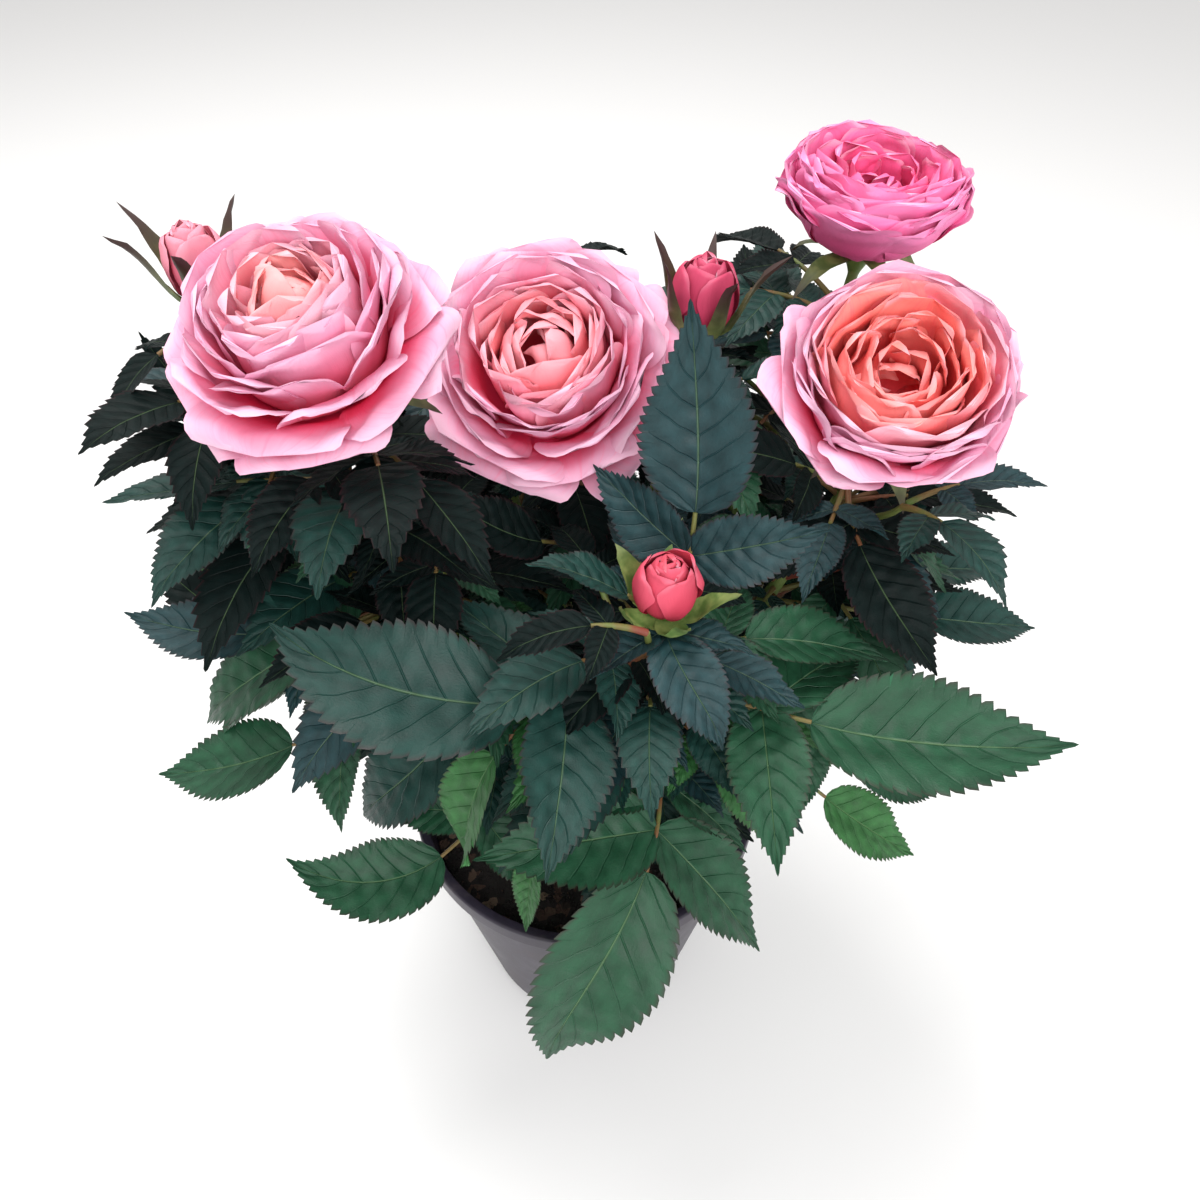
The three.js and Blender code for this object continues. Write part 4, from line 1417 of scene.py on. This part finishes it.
class ROSE_OT_buds(Maker, bpy.types.Operator):
    """Make the closed buds, the hips and the sepals"""

    bl_idname = "rose.buds"
    bl_label = "Buds and sepals"

    def execute(self, context):
        # The second colour of each scheme is the flush, its saturation partly painted light shining
        # through the petals.
        schemes = {
            "front": (0xDD5A70, 0xC22C48, 0xDC5560, 0xB4223E),
            "middle_bud": (0xC94A6A, 0xA32546, 0xBE405C, 0x8E1C3C),
            "left_bud": (0xF29AAC, 0xE0637F, 0xEF8796, 0xD24D6C),
        }
        petal = blade_shape("bud petal", 14, 10, 0.66, 0.5, 0.45, gather=1.6)
        settings = {"Blade": petal, "Wave": 1.3 * MM, "Thickness": 0.35 * MM}
        settings |= {"Fold": 0.0, "Uneven": 0.2, "Reflex": 0.3}
        for name in BUDS:
            label = "petals of " + name
            material = petal_material(label, *map(paint, schemes[name]))
            tree = blade_tree(label, [material], FLOWER_CELLS)
            lines = bud_lines(name).build("bud lines")
            piece = grown(lines, "petals_of_bud_" + name, tree, settings)
            self.settle(piece, "bud", "bud_" + name)
        bpy.data.objects.remove(petal)

        sepal = blade_shape("sepal", 12, 4, 0.3, 0.7, 0.9)
        lines, hips = Lines(), Lines()
        share = np.linspace(0, 1, 12)
        for k, name in enumerate((*BLOOMS, *BUDS)):
            sepal_lines(name, lines, SEPALS * k)
            reach = 7 + lift_of(name)
            top = np.array(SHOOTS[name]["top"], float)
            places = top + flower_axis(name) * (share * reach - 6)[:, None]
            size = 3.3 if name in BLOOMS else 2.9
            radius = lerp(STEM_TOP_RADIUS, size, np.sin(share * math.pi * 0.62) ** 2)
            hips.add(places, radius=radius * MM, age=1.0, blush=0.1)
        tree = blade_tree("sepals", [sepal_material()], FLOWER_CELLS)
        settings = {"Blade": sepal, "Fold": 0.1, "Wave": 1.6 * MM, "Thickness": 0.5 * MM}
        self.settle(grown(lines.build("sepal lines"), "sepals", tree, settings), "foliage")
        bpy.data.objects.remove(sepal)
        tree = limb_tree("hips", stem_material(context.scene.rose_stem))
        settings = {"Sides": 16, "Relief": 0.1 * MM}
        self.settle(grown(hips.build("hip lines"), "hips", tree, settings), "foliage")
        return {"FINISHED"}


class ROSE_OT_stage(bpy.types.Operator):
    """Make the floor, the lights and the camera"""

    bl_idname = "rose.stage"
    bl_label = "Stage"
    bl_options = {"REGISTER", "UNDO"}

    def execute(self, context):
        scene = context.scene
        mesh = bpy.data.meshes.new("floor")
        half = 3.0
        corners = [(x * half, y * half, 0) for x, y in ((-1, -1), (1, -1), (1, 1), (-1, 1))]
        mesh.from_pydata(corners, [], [(0, 1, 2, 3)])
        mesh.materials.append(Look("floor", 0.7, Base_Color=(0.86, 0.86, 0.86, 1)).material)
        link("floor", mesh)

        world = bpy.data.worlds.new("studio")
        world.use_nodes = True
        colour, strength = world.node_tree.nodes["Background"].inputs[:2]
        colour.default_value = (1.0, 0.99, 0.98, 1)
        strength.default_value = 0.72
        scene.world = world

        def lamp(name, place, target, size, power, tint):
            data = bpy.data.lights.new(name, "AREA")
            data.shape = "SQUARE"
            data.size = size
            data.energy = power
            data.color = tint
            made = link(name, data)
            made.location = place
            way = Vector(target) - Vector(place)
            made.rotation_euler = way.to_track_quat("-Z", "Y").to_euler()

        lamp("sky", (-0.25, 0.35, 1.1), (0, 0, 0.15), 0.6, 9.0, (1.0, 0.99, 0.97))
        lamp("front fill", (0.2, -0.8, 0.8), (0, 0, 0.18), 0.8, 8.8, (1.0, 0.99, 0.99))

        data = bpy.data.cameras.new("camera")
        data.lens = 28.5
        data.sensor_width = 36
        data.clip_start = 0.01
        camera = link("camera", data)
        camera.location = (0.0045, -0.169, 0.339)
        camera.rotation_euler = (math.radians(45), 0, 0)
        scene.camera = camera
        scene.view_settings.view_transform = "Standard"
        return {"FINISHED"}


class ROSE_PT_panel(bpy.types.Panel):
    """The pieces of the rose bush"""

    bl_label = "Potted Rose Bush"
    bl_space_type = "VIEW_3D"
    bl_region_type = "UI"
    bl_category = "Rose"

    def draw(self, context):
        for maker in OPERATORS:
            self.layout.operator(maker.bl_idname)
        for group in SETTINGS:
            box = self.layout.box()
            for name in SETTINGS[group].__annotations__:
                box.prop(getattr(context.scene, group), name)


OPERATORS = (
    ROSE_OT_pot,
    ROSE_OT_soil,
    ROSE_OT_canes,
    ROSE_OT_leaves,
    ROSE_OT_blooms,
    ROSE_OT_buds,
    ROSE_OT_stage,
)
SETTINGS = {
    "rose_pot": RosePotSettings,
    "rose_leaf": RoseLeafSettings,
    "rose_flower": RoseFlowerSettings,
    "rose_stem": RoseStemSettings,
}


def register():
    for name, group in SETTINGS.items():
        bpy.utils.register_class(group)
        setattr(bpy.types.Scene, name, PointerProperty(type=group))
    for maker in (*OPERATORS, ROSE_PT_panel):
        bpy.utils.register_class(maker)


def unregister():
    for maker in (*OPERATORS, ROSE_PT_panel):
        bpy.utils.unregister_class(maker)
    for name, group in SETTINGS.items():
        delattr(bpy.types.Scene, name)
        bpy.utils.unregister_class(group)


def main():
    register()
    bpy.ops.rose.pot()
    bpy.ops.rose.soil()
    bpy.ops.rose.canes()
    bpy.ops.rose.leaves()
    bpy.ops.rose.blooms()
    bpy.ops.rose.buds()
    bpy.ops.rose.stage()


if __name__ == "__main__":
    main()
